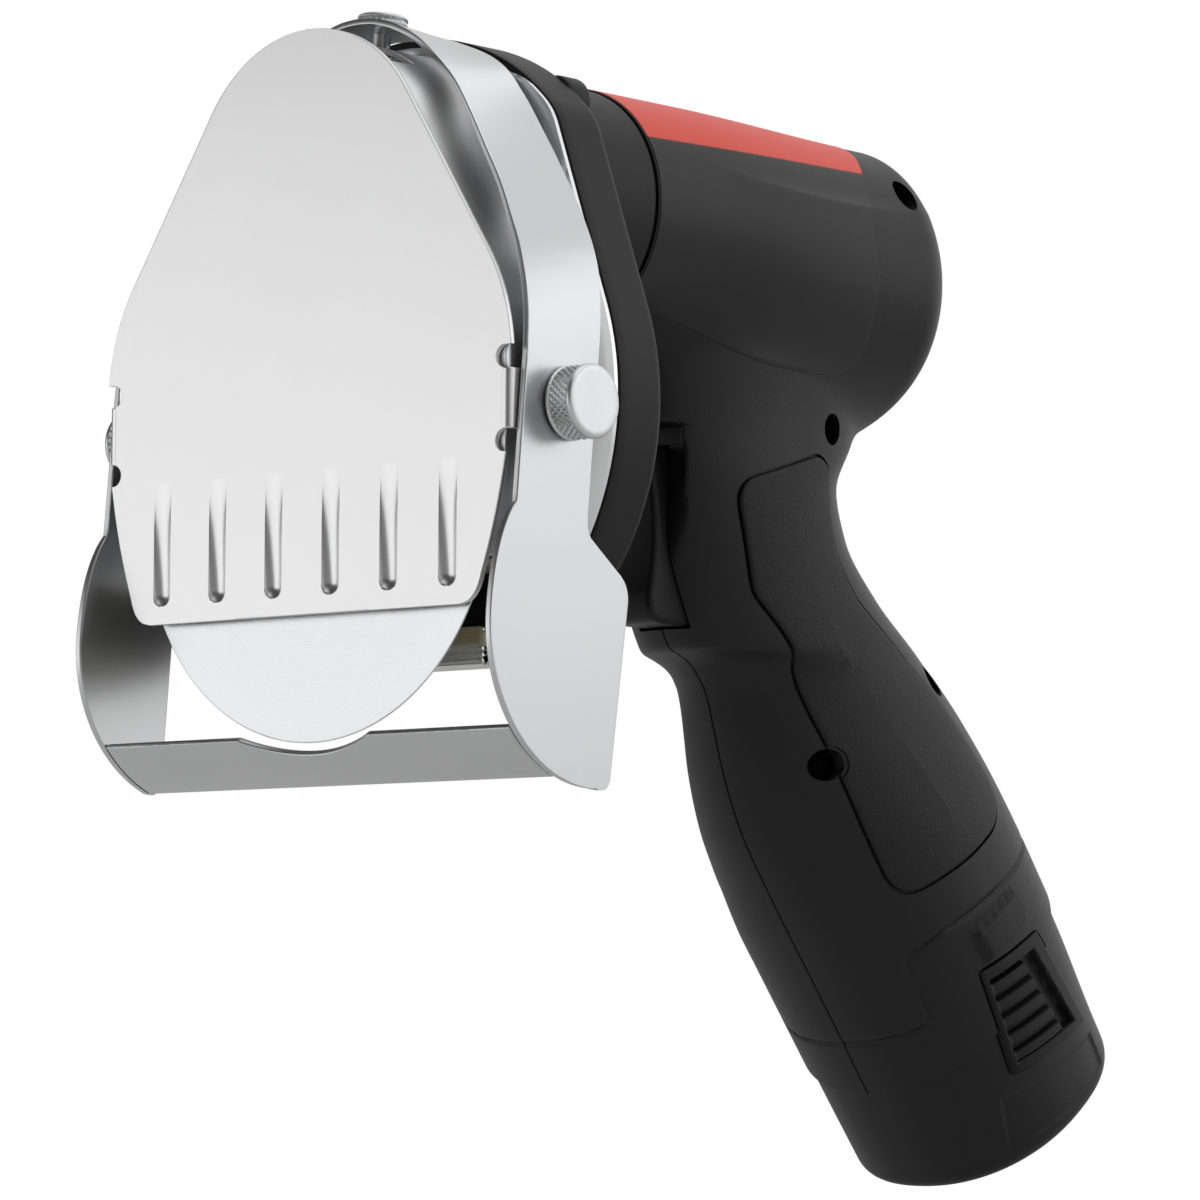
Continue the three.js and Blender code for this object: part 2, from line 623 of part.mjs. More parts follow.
// A spur gear's outline with involute flanks, one tooth centred on the angle start
function gearOutline(teeth, start) {
  const pitchR = GEAR_MODULE * teeth / 2;
  const baseR = pitchR * Math.cos(PRESSURE);
  const involute = (angle) => Math.tan(angle) - angle;
  const thick = (Math.PI * GEAR_MODULE / 2 - BACKLASH) / (2 * pitchR);
  const halfAt = (r) => thick + involute(PRESSURE) - involute(Math.acos(baseR / Math.max(r, baseR)));
  const radii = [pitchR - DEDENDUM * GEAR_MODULE, pitchR + ADDENDUM * GEAR_MODULE];
  const points = [];
  for (let tooth = 0; tooth < teeth; tooth += 1) {
    const centre = start + 2 * Math.PI * tooth / teeth;
    const rising = radii.map((r) => [r, centre - halfAt(r)]);
    const falling = radii.map((r) => [r, centre + halfAt(r)]).reverse();
    [...rising, ...falling].forEach(([r, angle]) => {
      points.push(new THREE.Vector2(r * Math.cos(angle), r * Math.sin(angle)));
    });
  }
  return new THREE.Shape(points);
}

function gear(teeth, start, z, boreR, sides = SMALL_ROUND) {
  const rear = GEAR_FRONT_Y + GEAR_W;
  const geometry = sheetXZ(gearOutline(teeth, start), GEAR_FRONT_Y, rear);
  geometry.translate(0, 0, z);
  return cut(solid(geometry), rodY(boreR, GEAR_FRONT_Y - 1, rear + 1, 0, z, sides));
}

// Glide plate with pressed grooves and side tabs bent back to the pivots
function glidePlate() {
  let plate = solid(sheetXZ(plateOutline(0), 0, SHEET));
  for (let i = 0; i < GROOVES; i += 1) {
    const geometry = new THREE.CapsuleGeometry(GROOVE_R, GROOVE_L, CAP_STEPS, SMALL_ROUND);
    geometry.rotateX(Math.PI / 2);
    geometry.translate(0, 0, GROOVE_L / 2);
    geometry.rotateX(Math.asin(GROOVE_DEPTH / GROOVE_L));
    const x = (i - (GROOVES - 1) / 2) * GROOVE_PITCH;
    geometry.translate(x, GROOVE_DEPTH - GROOVE_R, GROOVE_FOOT_Z);
    plate = cut(plate, solid(geometry));
  }
  const foot = PIVOT_Z - TAB_H / 2;
  const head = PIVOT_Z + TAB_H / 2;
  [-1, 1].forEach((side) => {
    const inner = side * (TAB_OUT - SHEET);
    const outer = side * TAB_OUT;
    const bent = [Math.min(inner, outer), Math.max(inner, outer)];
    const beyond = [Math.min(outer, side * FAR), Math.max(outer, side * FAR)];
    const notchX = side * (TAB_OUT - TAB_NOTCH_IN);
    const above = head + TAB_NOTCH_R;
    const below = foot - TAB_NOTCH_R;
    plate = cut(plate, block(...beyond, -1, SHEET + 1, foot - TAB_NOTCH_R, head + TAB_NOTCH_R));
    plate = cut(plate, rodY(TAB_NOTCH_R, -1, SHEET + 1, notchX, above));
    plate = cut(plate, rodY(TAB_NOTCH_R, -1, SHEET + 1, notchX, below));
    const tab = block(...bent, 0, TAB_L, foot, head);
    const hole = rodX(KNOB_SHANK_R + FIT, bent[0] - 1, bent[1] + 1, PIVOT_Y, PIVOT_Z);
    plate = cut(join(plate, tab), hole);
  });
  add('glide_plate', plate, STEEL);
}

// Blade, its screw and the spindle with the flange behind the blade
function bladeGroup() {
  const bladeRear = BLADE_Y + BLADE_T;
  const nose = BLADE_Y + FIT;
  const edge = [
    [SPINDLE_R + FIT, BLADE_Y], [BLADE_R - 3, BLADE_Y], [BLADE_R, bladeRear - 0.3], [BLADE_R, bladeRear],
    [SPINDLE_R + FIT, bladeRear], [SPINDLE_R + FIT, BLADE_Y],
  ];
  add('blade', turned(edge, 0, BLADE_SIDES), BLADE_STEEL);
  const flangeFront = bladeRear + FIT;
  const flangeRear = flangeFront + FLANGE_T;
  const spindleEnd = REAR_SEAT_Y - FIT;
  const spindle = turned([
    [0, nose], [SPINDLE_R, nose], [SPINDLE_R, flangeFront], [FLANGE_R, flangeFront],
    [FLANGE_R, flangeRear], [COLLAR_R, flangeRear], [COLLAR_R, FRONT_BEARING_Y - FIT],
    [SPINDLE_R, FRONT_BEARING_Y - FIT], [SPINDLE_R, spindleEnd], [0, spindleEnd],
  ], 0, INNER_ROUND);
  const drilled = rodY(SCREW_SHANK_R + FIT, 0, BLADE_Y + SCREW_SHANK_L + 2 * FIT);
  add('spindle', cut(spindle, drilled), DARK_STEEL);
  const headRear = BLADE_Y - FIT;
  const headFront = headRear - SCREW_HEAD_T;
  const screw = turned([
    [0, headFront], [SCREW_HEAD_R - 0.6, headFront], [SCREW_HEAD_R, headFront + 0.6],
    [SCREW_HEAD_R, headRear], [SCREW_SHANK_R, headRear], [SCREW_SHANK_R, BLADE_Y + SCREW_SHANK_L],
    [0, BLADE_Y + SCREW_SHANK_L],
  ], 0, SMALL_ROUND);
  add('blade_screw', screw, KNOB_STEEL);
}

// Gear train and its bearings
function gearTrain() {
  const up = Math.PI / 2;
  const idlerStart = -up + Math.PI / IDLER_TEETH;
  const pinionStart = -up + Math.PI / PINION_TEETH;
  add('spindle_gear', gear(SPINDLE_TEETH, up, 0, SPINDLE_R + FIT, INNER_ROUND), DARK_STEEL);
  add('idler_gear', gear(IDLER_TEETH, idlerStart, IDLER_Z, AXLE_R + FIT), WHITE_NYLON);
  add('motor_pinion', gear(PINION_TEETH, pinionStart, MOTOR_Z, SHAFT_R + FIT), BRASS);
  [['front_bearing', FRONT_BEARING_Y], ['rear_bearing', REAR_BEARING_Y]].forEach(([name, y]) => {
    add(name, ring(BEARING_R, SPINDLE_R + FIT, y, y + BEARING_W, 0, INNER_ROUND), KNOB_STEEL);
  });
  const axleEnd = CASE_FLOOR_Y + CASE_BACK_T / 2;
  const axle = rodY(AXLE_R, CASE_FRONT_Y + COVER_T / 2, axleEnd - FIT, 0, IDLER_Z);
  add('idler_axle', axle, DARK_STEEL);
  const bush = ring(BUSH_R, SHAFT_R + FIT, CASE_FLOOR_Y, CASE_FLOOR_Y + BUSH_L, MOTOR_Z, SMALL_ROUND);
  add('shaft_bush', bush, BRASS);
}

function caseScrewPlaces() {
  return [
    [-CASE_SCREW_X, CASE_SCREW_UPPER_Z], [CASE_SCREW_X, CASE_SCREW_UPPER_Z],
    [-CASE_SCREW_X, CASE_SCREW_LOWER_Z], [CASE_SCREW_X, CASE_SCREW_LOWER_Z],
  ];
}

// Hood: the plate's outline as a pan with an open foot on a wider back sheet, a notched crown with the
// top knob's slot, and the pivots' holes
function bladeHood() {
  const front = SHEET + FIT;
  const outer = solid(sheetXZ(plateOutline(HOOD_INSET), front, HOOD_REAR_Y));
  const inner = solid(sheetXZ(plateOutline(HOOD_INSET + SHEET), front - 1, HOOD_REAR_Y - SHEET));
  const open = block(-FAR, FAR, 0, FAR, -FAR, HOOD_FOOT_Z);
  const notch = block(-HOOD_NOTCH_HALF, HOOD_NOTCH_HALF, 0, HOOD_NOTCH_Y, PLATE_TOP_Z, FAR);
  const pivots = rodX(KNOB_SHANK_R + FIT, -FAR, FAR, PIVOT_Y, PIVOT_Z);
  const slotHalf = KNOB_SHANK_R + FIT;
  const slotEnd = PIVOT_Y + TOP_KNOB_AT + HOOD_CROWN * Math.sin(GUIDE_TILT + GUIDE_OVER);
  const slot = join(
    block(-slotHalf, slotHalf, 0, slotEnd, PLATE_TOP_Z, FAR),
    rodZ(slotHalf, PLATE_TOP_Z, FAR, 0, slotEnd),
  );
  const boss = rodY(BEARING_R + CASE_WALL + 2 * FIT, 0, FAR, 0, 0, INNER_ROUND);
  const back = solid(sheetXZ(caseOutline(FIT), HOOD_REAR_Y - SHEET, HOOD_REAR_Y));
  let hood = cut(join(cut(outer, inner, notch, slot), back), open, pivots, boss);
  caseScrewPlaces().forEach(([x, z]) => {
    hood = cut(hood, rodY(CASE_SCREW_R + FIT, HOOD_REAR_Y - SHEET - 1, HOOD_REAR_Y + 1, x, z));
  });
  add('blade_hood', hood, STEEL);
}

// Gear case: a rim and back with the round neck, bosses for the screws and seats for the shafts
function gearCase() {
  const settings = {
    depth: CASE_REAR_Y - CASE_FRONT_Y - CASE_EDGE,
    bevelEnabled: true,
    bevelThickness: CASE_EDGE,
    bevelSize: CASE_EDGE,
    bevelOffset: -CASE_EDGE,
    bevelSegments: 1,
    curveSegments: ARC_STEPS,
  };
  const geometry = new THREE.ExtrudeGeometry(caseOutline(0), settings);
  geometry.rotateX(Math.PI / 2);
  geometry.translate(0, CASE_REAR_Y - CASE_EDGE, 0);
  const squared = block(-FAR, FAR, 0, CASE_FRONT_Y, -FAR, FAR);
  let body = cut(solid(geometry), squared);
  const room = sheetXZ(caseOutline(CASE_WALL), 0, CASE_FLOOR_Y);
  body = cut(body, solid(room));
  const spigotR = BARREL_R - WALL - FIT;
  const boreR = spigotR - NECK_WALL;
  const spigotEnd = NECK_END_Y + SPIGOT_L;
  const neckRoot = CASE_FLOOR_Y + 1;
  const neck = turned([
    [boreR, neckRoot], [NECK_R, neckRoot], [NECK_R, NECK_END_Y], [spigotR, NECK_END_Y],
    [spigotR, spigotEnd], [boreR, spigotEnd], [boreR, neckRoot],
  ], MOTOR_Z);
  const seat = rodY(BUSH_R + CASE_WALL, CASE_FLOOR_Y, CASE_FLOOR_Y + BUSH_L, 0, MOTOR_Z);
  body = join(body, neck, seat);
  [-LUG_X, LUG_X].forEach((x) => {
    body = join(body, rodY(LUG_R, CASE_FLOOR_Y, CASE_REAR_Y + LUG_L, x, LUG_Z));
  });
  caseScrewPlaces().forEach(([x, z]) => {
    const boss = rodY(CASE_BOSS_R, COVER_REAR_Y + FIT, CASE_FLOOR_Y + 1, x, z);
    const hole = rodY(CASE_SCREW_R + FIT, 0, CASE_FLOOR_Y - FIT, x, z);
    body = cut(join(body, boss), hole);
  });
  const seatR = BEARING_R + FIT;
  body = join(body, rodY(seatR + CASE_WALL, REAR_BEARING_Y, neckRoot, 0, 0, INNER_ROUND));
  const bearing = rodY(seatR, 0, REAR_SEAT_Y, 0, 0, INNER_ROUND);
  const axle = rodY(AXLE_R + FIT, CASE_FLOOR_Y - 1, CASE_FLOOR_Y + CASE_BACK_T / 2, 0, IDLER_Z);
  const shaft = rodY(BUSH_R + FIT, CASE_FLOOR_Y - 1, CASE_FLOOR_Y + BUSH_L + 1, 0, MOTOR_Z);
  add('gear_case', cut(body, bearing, axle, shaft), CASE_BLACK);

  let cover = solid(sheetXZ(caseOutline(CASE_WALL + FIT), CASE_FRONT_Y, COVER_REAR_Y));
  const bossFront = CASE_FRONT_Y - COVER_BOSS_L;
  cover = join(cover, rodY(seatR + CASE_WALL, bossFront, CASE_FRONT_Y + 1, 0, 0, INNER_ROUND));
  cover = cut(cover, rodY(seatR, FRONT_BEARING_Y - FIT, GEAR_FRONT_Y, 0, 0, INNER_ROUND));
  cover = cut(cover, rodY(COLLAR_R + FIT, 0, FAR, 0, 0, INNER_ROUND));
  cover = cut(cover, rodY(AXLE_R + FIT, CASE_FRONT_Y + COVER_T / 2 - FIT, COVER_REAR_Y + 1, 0, IDLER_Z));
  caseScrewPlaces().forEach(([x, z]) => {
    cover = cut(cover, rodY(CASE_SCREW_R + FIT, CASE_FRONT_Y - 1, COVER_REAR_Y + 1, x, z));
  });
  add('gear_cover', cover, CASE_BLACK);

  caseScrewPlaces().forEach(([x, z], i) => {
    const seatY = HOOD_REAR_Y - SHEET - FIT;
    const head = rodY(2 * CASE_SCREW_R, seatY - 2, seatY, x, z);
    const shank = rodY(CASE_SCREW_R, seatY - 1, CASE_FLOOR_Y - 2 * FIT, x, z);
    add(`case_screw_${i + 1}`, join(head, shank), KNOB_STEEL);
  });
}

// Lamp: a ribbed clear bar on the cover, with its board in a pocket at the back
function lamp() {
  const rear = CASE_FRONT_Y - FIT;
  const pitch = 2 * LAMP_HALF / LAMP_RIBS;
  const plan = new THREE.Shape();
  plan.moveTo(LAMP_HALF, rear);
  plan.lineTo(-LAMP_HALF, rear);
  plan.lineTo(-LAMP_HALF, LAMP_FRONT_Y + 1);
  for (let i = 0; i < LAMP_RIBS; i += 1) {
    const x = -LAMP_HALF + i * pitch;
    plan.lineTo(x + 0.1 * pitch, LAMP_FRONT_Y + 1);
    plan.quadraticCurveTo(x + pitch / 2, LAMP_FRONT_Y - 1, x + 0.9 * pitch, LAMP_FRONT_Y + 1);
  }
  plan.lineTo(LAMP_HALF, LAMP_FRONT_Y + 1);
  const settings = { depth: LAMP_H, bevelEnabled: false, curveSegments: 3 };
  const geometry = new THREE.ExtrudeGeometry(plan, settings);
  geometry.translate(0, 0, LAMP_FOOT_Z);
  const half = LAMP_HALF - LAMP_WALL;
  const foot = LAMP_FOOT_Z + LAMP_WALL;
  const head = LAMP_FOOT_Z + LAMP_H - LAMP_WALL;
  const pocketFront = LAMP_FRONT_Y + 2 * LAMP_WALL + 1;
  const pocket = block(-half, half, pocketFront, rear + 1, foot, head);
  add('lamp_lens', cut(solid(geometry), pocket), CLEAR);
  const boardRear = rear - FIT;
  const board = block(FIT - half, half - FIT, boardRear - LAMP_BOARD_T, boardRear, foot + FIT, head - FIT);
  add('lamp_board', board, BOARD_GREEN);
}

// Side view of the strap and one paddle, measured from the pivot; only the right paddle is flared
function strapSide(flared) {
  const top = STRAP_CROWN + 1;
  const foot = PADDLE_Z - PADDLE_R;
  const outline = new THREE.Shape();
  outline.moveTo(LEG_REAR, top / 3);
  outline.lineTo(STRAP_TOP_REAR, top);
  outline.lineTo(STRAP_TOP_FRONT, top);
  outline.lineTo(STRAP_TOP_FRONT, top / 2);
  outline.quadraticCurveTo(LEG_FRONT, top / 4, LEG_FRONT, 0);
  outline.lineTo(LEG_FRONT, PADDLE_Z / 2);
  outline.quadraticCurveTo(PADDLE_Y - PADDLE_R, PADDLE_Z / 1.5, PADDLE_Y - PADDLE_R, PADDLE_Z);
  if (flared) {
    outline.absarc(PADDLE_Y, PADDLE_Z, PADDLE_R, Math.PI, 1.5 * Math.PI);
    const heel = PADDLE_REAR - PADDLE_TAPER;
    const lift = PADDLE_REAR_Z + PADDLE_LIFT;
    outline.lineTo(heel - PADDLE_CORNER, foot);
    outline.quadraticCurveTo(heel, foot, heel, foot + PADDLE_CORNER);
    outline.lineTo(PADDLE_REAR, PADDLE_REAR_Z - PADDLE_HEEL);
    const round = [PADDLE_REAR - PADDLE_HEEL, PADDLE_REAR_Z + PADDLE_HEEL / 2];
    outline.quadraticCurveTo(PADDLE_REAR, PADDLE_REAR_Z, ...round);
    outline.lineTo(LEG_REAR + LEG_ROUND / 2, lift);
    outline.quadraticCurveTo(LEG_REAR, lift + LEG_ROUND / 4, LEG_REAR, lift + 1.25 * LEG_ROUND);
  } else {
    outline.absarc(PADDLE_Y, PADDLE_Z, PADDLE_R, Math.PI, BAR_TO);
    outline.quadraticCurveTo(LEG_REAR, foot, LEG_REAR, foot + PLAIN_ROUND);
  }
  return outline;
}

// Guide: strap with its paddles, and the rolled bar with a bay for the blade
function guideFrame() {
  const foot = PIVOT_Z + PADDLE_Z - PADDLE_R - 1;
  const placed = (geometry) => solid(geometry.translate(0, -PIVOT_Y, -PIVOT_Z));
  const outline = archOutline(STRAP_SHEET, STRAP_TOP_GAP + STRAP_SHEET, foot);
  const outer = placed(sheetXZ(outline, -FAR / 4, FAR / 4));
  const inner = placed(sheetXZ(archOutline(0, STRAP_TOP_GAP, foot - 1), -FAR / 2, FAR / 2));
  const arch = cut(outer, inner);
  const right = common(arch, solid(sheetYZ(strapSide(true), -STRAP_SHEET, FAR)));
  const left = common(arch, solid(sheetYZ(strapSide(false), -FAR, 0)));
  const pivots = rodX(KNOB_SHANK_R + FIT, -FAR, FAR, 0, 0);
  const crown = rodZ(KNOB_SHANK_R + FIT, 0, FAR, 0, TOP_KNOB_AT);
  add('guide_strap', cut(join(right, left), pivots, crown), STEEL, guide);

  const strip = new THREE.Shape();
  strip.absarc(PADDLE_Y, PADDLE_Z, PADDLE_R, BAR_FROM, BAR_TO, false);
  strip.absarc(PADDLE_Y, PADDLE_Z, PADDLE_R - STRAP_SHEET, BAR_TO, BAR_FROM, true);
  const reach = PLATE_HALF - FIT;
  const bay = new THREE.CylinderGeometry(BLADE_R + BAR_BLADE_GAP, BLADE_R + BAR_BLADE_GAP, FAR, 2 * ROUND);
  bay.translate(0, -PIVOT_Y, -PIVOT_Z);
  bay.rotateX(GUIDE_TILT);
  add('guide_bar', cut(solid(sheetYZ(strip, -reach, reach)), solid(bay)), STEEL, guide);
}

// Thumb screw along X with chamfered rims, on the side given by its sign
function sideKnob(name, side) {
  const seat = STRAP_OUT + FIT;
  const end = PIVOT_NUT_X - NUT_T;
  const profile = [
    [0, end], [KNOB_SHANK_R, end], [KNOB_SHANK_R, seat], [KNOB_R - KNOB_EDGE, seat],
    [KNOB_R, seat + KNOB_EDGE], [KNOB_R, seat + KNOB_T - KNOB_EDGE],
    [KNOB_R - KNOB_EDGE, seat + KNOB_T], [0, seat + KNOB_T],
  ];
  const points = profile.map(([r, y]) => new THREE.Vector2(r, y));
  const geometry = new THREE.LatheGeometry(points, INNER_ROUND);
  geometry.rotateZ(-side * Math.PI / 2);
  geometry.translate(0, PIVOT_Y, PIVOT_Z);
  add(name, solid(geometry), KNOB_STEEL);
}

function knobs() {
  sideKnob('side_knob_left', -1);
  sideKnob('side_knob_right', 1);
  [['pivot_nut_left', -PIVOT_NUT_X], ['pivot_nut_right', PIVOT_NUT_X - NUT_T]].forEach(([name, x]) => {
    const hex = rodX(NUT_R, x, x + NUT_T, PIVOT_Y, PIVOT_Z, HEX);
    const bore = rodX(KNOB_SHANK_R + FIT, x - 1, x + NUT_T + 1, PIVOT_Y, PIVOT_Z);
    add(name, cut(hex, bore), KNOB_STEEL);
  });
  const seat = STRAP_CROWN + FIT;
  const nutTop = HOOD_CROWN - SHEET - TOP_NUT_PLAY;
  const end = nutTop - NUT_T;
  const profile = [
    [0, end], [KNOB_SHANK_R, end], [KNOB_SHANK_R, seat], [TOP_KNOB_R - KNOB_EDGE, seat],
    [TOP_KNOB_R, seat + KNOB_EDGE], [TOP_KNOB_R, seat + TOP_KNOB_T - KNOB_EDGE],
    [TOP_KNOB_R - KNOB_EDGE, seat + TOP_KNOB_T], [0, seat + TOP_KNOB_T],
  ];
  const points = profile.map(([r, y]) => new THREE.Vector2(r, y));
  const geometry = new THREE.LatheGeometry(points, INNER_ROUND);
  geometry.rotateX(Math.PI / 2);
  geometry.translate(0, TOP_KNOB_AT, 0);
  add('top_knob', solid(geometry), KNOB_STEEL, guide);
  const hex = rodZ(NUT_R, nutTop - NUT_T, nutTop, 0, TOP_KNOB_AT, HEX);
  const bore = rodZ(KNOB_SHANK_R + FIT, nutTop - NUT_T - 1, nutTop + 1, 0, TOP_KNOB_AT);
  add('top_nut', cut(hex, bore), KNOB_STEEL, guide);
}

// Motor: can with a nose, end cap and a rotor whose shaft reaches through the neck to the pinion
function motor() {
  const front = MOTOR_FRONT_Y;
  const noseY = front - MOTOR_NOSE_L;
  const bore = SHAFT_R + FIT;
  const can = turned([
    [bore, noseY], [MOTOR_NOSE_R, noseY], [MOTOR_NOSE_R, front], [MOTOR_R, front],
    [MOTOR_R, MOTOR_REAR_Y], [MOTOR_R - MOTOR_WALL, MOTOR_REAR_Y],
    [MOTOR_R - MOTOR_WALL, front + MOTOR_WALL], [bore, front + MOTOR_WALL], [bore, noseY],
  ], MOTOR_Z, INNER_ROUND);
  add('motor_can', can, DARK_STEEL);
  const capFront = MOTOR_REAR_Y + FIT;
  const capEnd = capFront + MOTOR_CAP_L;
  const cap = ring(MOTOR_R - MOTOR_CAP_STEP, bore, capFront, capEnd, MOTOR_Z, INNER_ROUND);
  add('motor_end_cap', cap, CASE_BLACK);
  const armatureFront = front + MOTOR_WALL + ARMATURE_FRONT_ROOM;
  const armatureRear = MOTOR_REAR_Y - ARMATURE_REAR_ROOM;
  const commutatorEnd = MOTOR_REAR_Y - COMMUTATOR_ROOM;
  const rotor = turned([
    [0, GEAR_FRONT_Y], [SHAFT_R, GEAR_FRONT_Y], [SHAFT_R, armatureFront],
    [ARMATURE_R, armatureFront], [ARMATURE_R, armatureRear], [ARMATURE_R / 2, armatureRear],
    [ARMATURE_R / 2, commutatorEnd], [SHAFT_R, commutatorEnd],
    [SHAFT_R, capEnd - 1], [0, capEnd - 1],
  ], MOTOR_Z, SMALL_ROUND);
  add('rotor', rotor, COPPER);
}

// Outline of the grip inlay on the handle's side, each point moved out by grow, square to its neighbours
function inlayOutline(grow) {
  const points = INLAY_OUTLINE.map(([y, z], i) => {
    const [y0, z0] = INLAY_OUTLINE.at(i - 1);
    const [y1, z1] = INLAY_OUTLINE[(i + 1) % INLAY_OUTLINE.length];
    const length = Math.hypot(y1 - y0, z1 - z0);
    return new THREE.Vector2(y + grow * (z1 - z0) / length, z - grow * (y1 - y0) / length);
  });
  return new THREE.Shape(points);
}

// Clamshell: barrel, neck and grip as one hollow body, fitted out inside and split at X = 0
function clamshell() {
  const grip = gripBody(0);
  const outer = cut(join(barrelBody(0, BARREL_FRONT_Y), grip), pastGrip(COLLAR_S, COLLAR_SKEW));
  const hollow = gripBody(-WALL, INNER_STATIONS, INNER_POINTS);
  const inner = join(barrelBody(-WALL, BARREL_FRONT_Y - 1, CORNER_STEPS, CORNER_STEPS), hollow);
  let shell = cut(outer, inner);

  const strike = STRIKE_W / 2;
  const pad = [
    [LATCH_T - strike, STRIKE_S], [LATCH_T + strike, STRIKE_S],
    [LATCH_T + strike, STRIKE_S + STRIKE_L], [LATCH_T - strike, STRIKE_S + STRIKE_L],
  ];
  const swollen = cut(gripBody(STRIKE_PROUD), inner);
  shell = join(shell, common(swollen, besideGrip(pad, 0, FAR)), common(swollen, besideGrip(pad, -FAR, 0)));

  const ribR = BARREL_R - RIB_SINK;
  const ribRing = (y) => ring(ribR, MOTOR_R + FIT, y, y + RIB_T, MOTOR_Z, INNER_ROUND);
  const ribs = join(ribRing(MOTOR_FRONT_Y + FRONT_RIB_IN), ribRing(MOTOR_REAR_Y - REAR_RIB_IN));
  const switchRear = TRIGGER_REAR_Y + TRIGGER_TRAVEL + FIT;
  const ribFoot = SWITCH_FOOT_Z + SWITCH_RIB_IN;
  const ribHead = SWITCH_TOP_Z - SWITCH_RIB_IN;
  const switchRibs = [SWITCH_RIB_FRONT, SWITCH_RIB_REAR].map((dy) => {
    const y = switchRear + dy;
    return block(-FAR, FAR, y, y + RIB_T, ribFoot, ribHead);
  });
  const across = new THREE.Shape();
  across.moveTo(FAR, GRIP_T - TERMINAL_RIB_HALF);
  across.lineTo(FAR, GRIP_T + TERMINAL_RIB_HALF);
  across.lineTo(-FAR, GRIP_T + TERMINAL_RIB_HALF);
  across.lineTo(-FAR, GRIP_T - TERMINAL_RIB_HALF);
  const blockEnd = INSERT_TOP_S - FIT;
  const ribStart = blockEnd - TERMINAL_L + TERMINAL_RIB_IN;
  const terminalRib = alongGrip(across, ribStart, ribStart + TERMINAL_RIB_T);
  const recessHead = TRIGGER_TOP_Z + RECESS_HEAD;
  const bezelHalf = RECESS_HALF + BEZEL_RIM;
  const bezel = block(
    -bezelHalf, bezelHalf, RECESS_Y, RECESS_Y + BEZEL_T, TRIGGER_FOOT_Z - BEZEL_RIM, recessHead + BEZEL_RIM,
  );
  shell = join(shell, ...[ribs, ...switchRibs, terminalRib, bezel].map((piece) => common(piece, outer)));
  const half = TERMINAL_HALF + FIT;
  const seat = new THREE.Shape();
  seat.moveTo(half, GRIP_T - half);
  seat.lineTo(half, GRIP_T + half);
  seat.lineTo(-half, GRIP_T + half);
  seat.lineTo(-half, GRIP_T - half);
  shell = cut(shell, alongGrip(seat, blockEnd - TERMINAL_L - FIT, blockEnd + 2));
  const switchHalf = SWITCH_HALF + FIT;
  const switchEnd = switchRear + SWITCH_L + FIT;
  shell = cut(shell, block(
    -switchHalf, switchHalf, switchRear - 1, switchEnd, SWITCH_FOOT_Z - FIT, SWITCH_TOP_Z + FIT,
  ));
  shell = cut(shell, block(
    -RECESS_HALF, RECESS_HALF, 0, RECESS_Y, TRIGGER_FOOT_Z - 2 * FIT, recessHead,
  ));
  const way = TRIGGER_HALF + FIT;
  shell = cut(shell, block(-way, way, 0, TRIGGER_REAR_Y, TRIGGER_FOOT_Z - FIT, TRIGGER_TOP_Z + FIT));

  SHELL_SCREWS.forEach(([y, z], i) => {
    const boss = common(rodX(SCREW_BOSS_R, -FAR, FAR, y, z), outer);
    const well = rodX(WELL_R, WELL_FLOOR_X, FAR, y, z);
    const hole = rodX(SHELL_SCREW_R + FIT, -SCREW_DEPTH - FIT, WELL_FLOOR_X + 1, y, z);
    shell = cut(join(shell, boss), well, hole);
    const seatX = WELL_FLOOR_X + FIT;
    const head = rodX(SHELL_SCREW_HEAD_R, seatX, seatX + SHELL_SCREW_HEAD_T, y, z);
    const shank = rodX(SHELL_SCREW_R, -SCREW_DEPTH, seatX + 1, y, z);
    add(`shell_screw_${i + 1}`, join(head, shank), DARK_STEEL);
  });

  const latchWay = latchOutline(FIT);
  const wayX = LATCH_X - LATCH_WAY;
  shell = cut(shell, besideGrip(latchWay, wayX, FAR), besideGrip(latchWay, -FAR, -wayX));

  const recess = cut(gripBody(WALL), gripBody(-INLAY_DEPTH - FIT));
  const inlay = cut(gripBody(INLAY_PROUD), gripBody(-INLAY_DEPTH));
  const wells = SHELL_SCREWS.map(([y, z]) => rodX(WELL_R + INLAY_WELL_GAP, -FAR, FAR, y, z));
  [['left', -FAR, -INLAY_X], ['right', INLAY_X, FAR]].forEach(([name, x0, x1]) => {
    shell = cut(shell, common(recess, solid(sheetYZ(inlayOutline(FIT), x0, x1, CORNER_STEPS))));
    const pad = solid(sheetYZ(inlayOutline(0), x0, x1, CORNER_STEPS));
    add(`grip_inlay_${name}`, common(cut(inlay, ...wells), pad), RUBBER);
  });

  add('shell_left', cut(shell, block(-SEAM_GAP / 2, FAR, -FAR, FAR, -FAR, FAR)), SHELL_BLACK);
  add('shell_right', cut(shell, block(-FAR, SEAM_GAP / 2, -FAR, FAR, -FAR, FAR)), SHELL_BLACK);
}

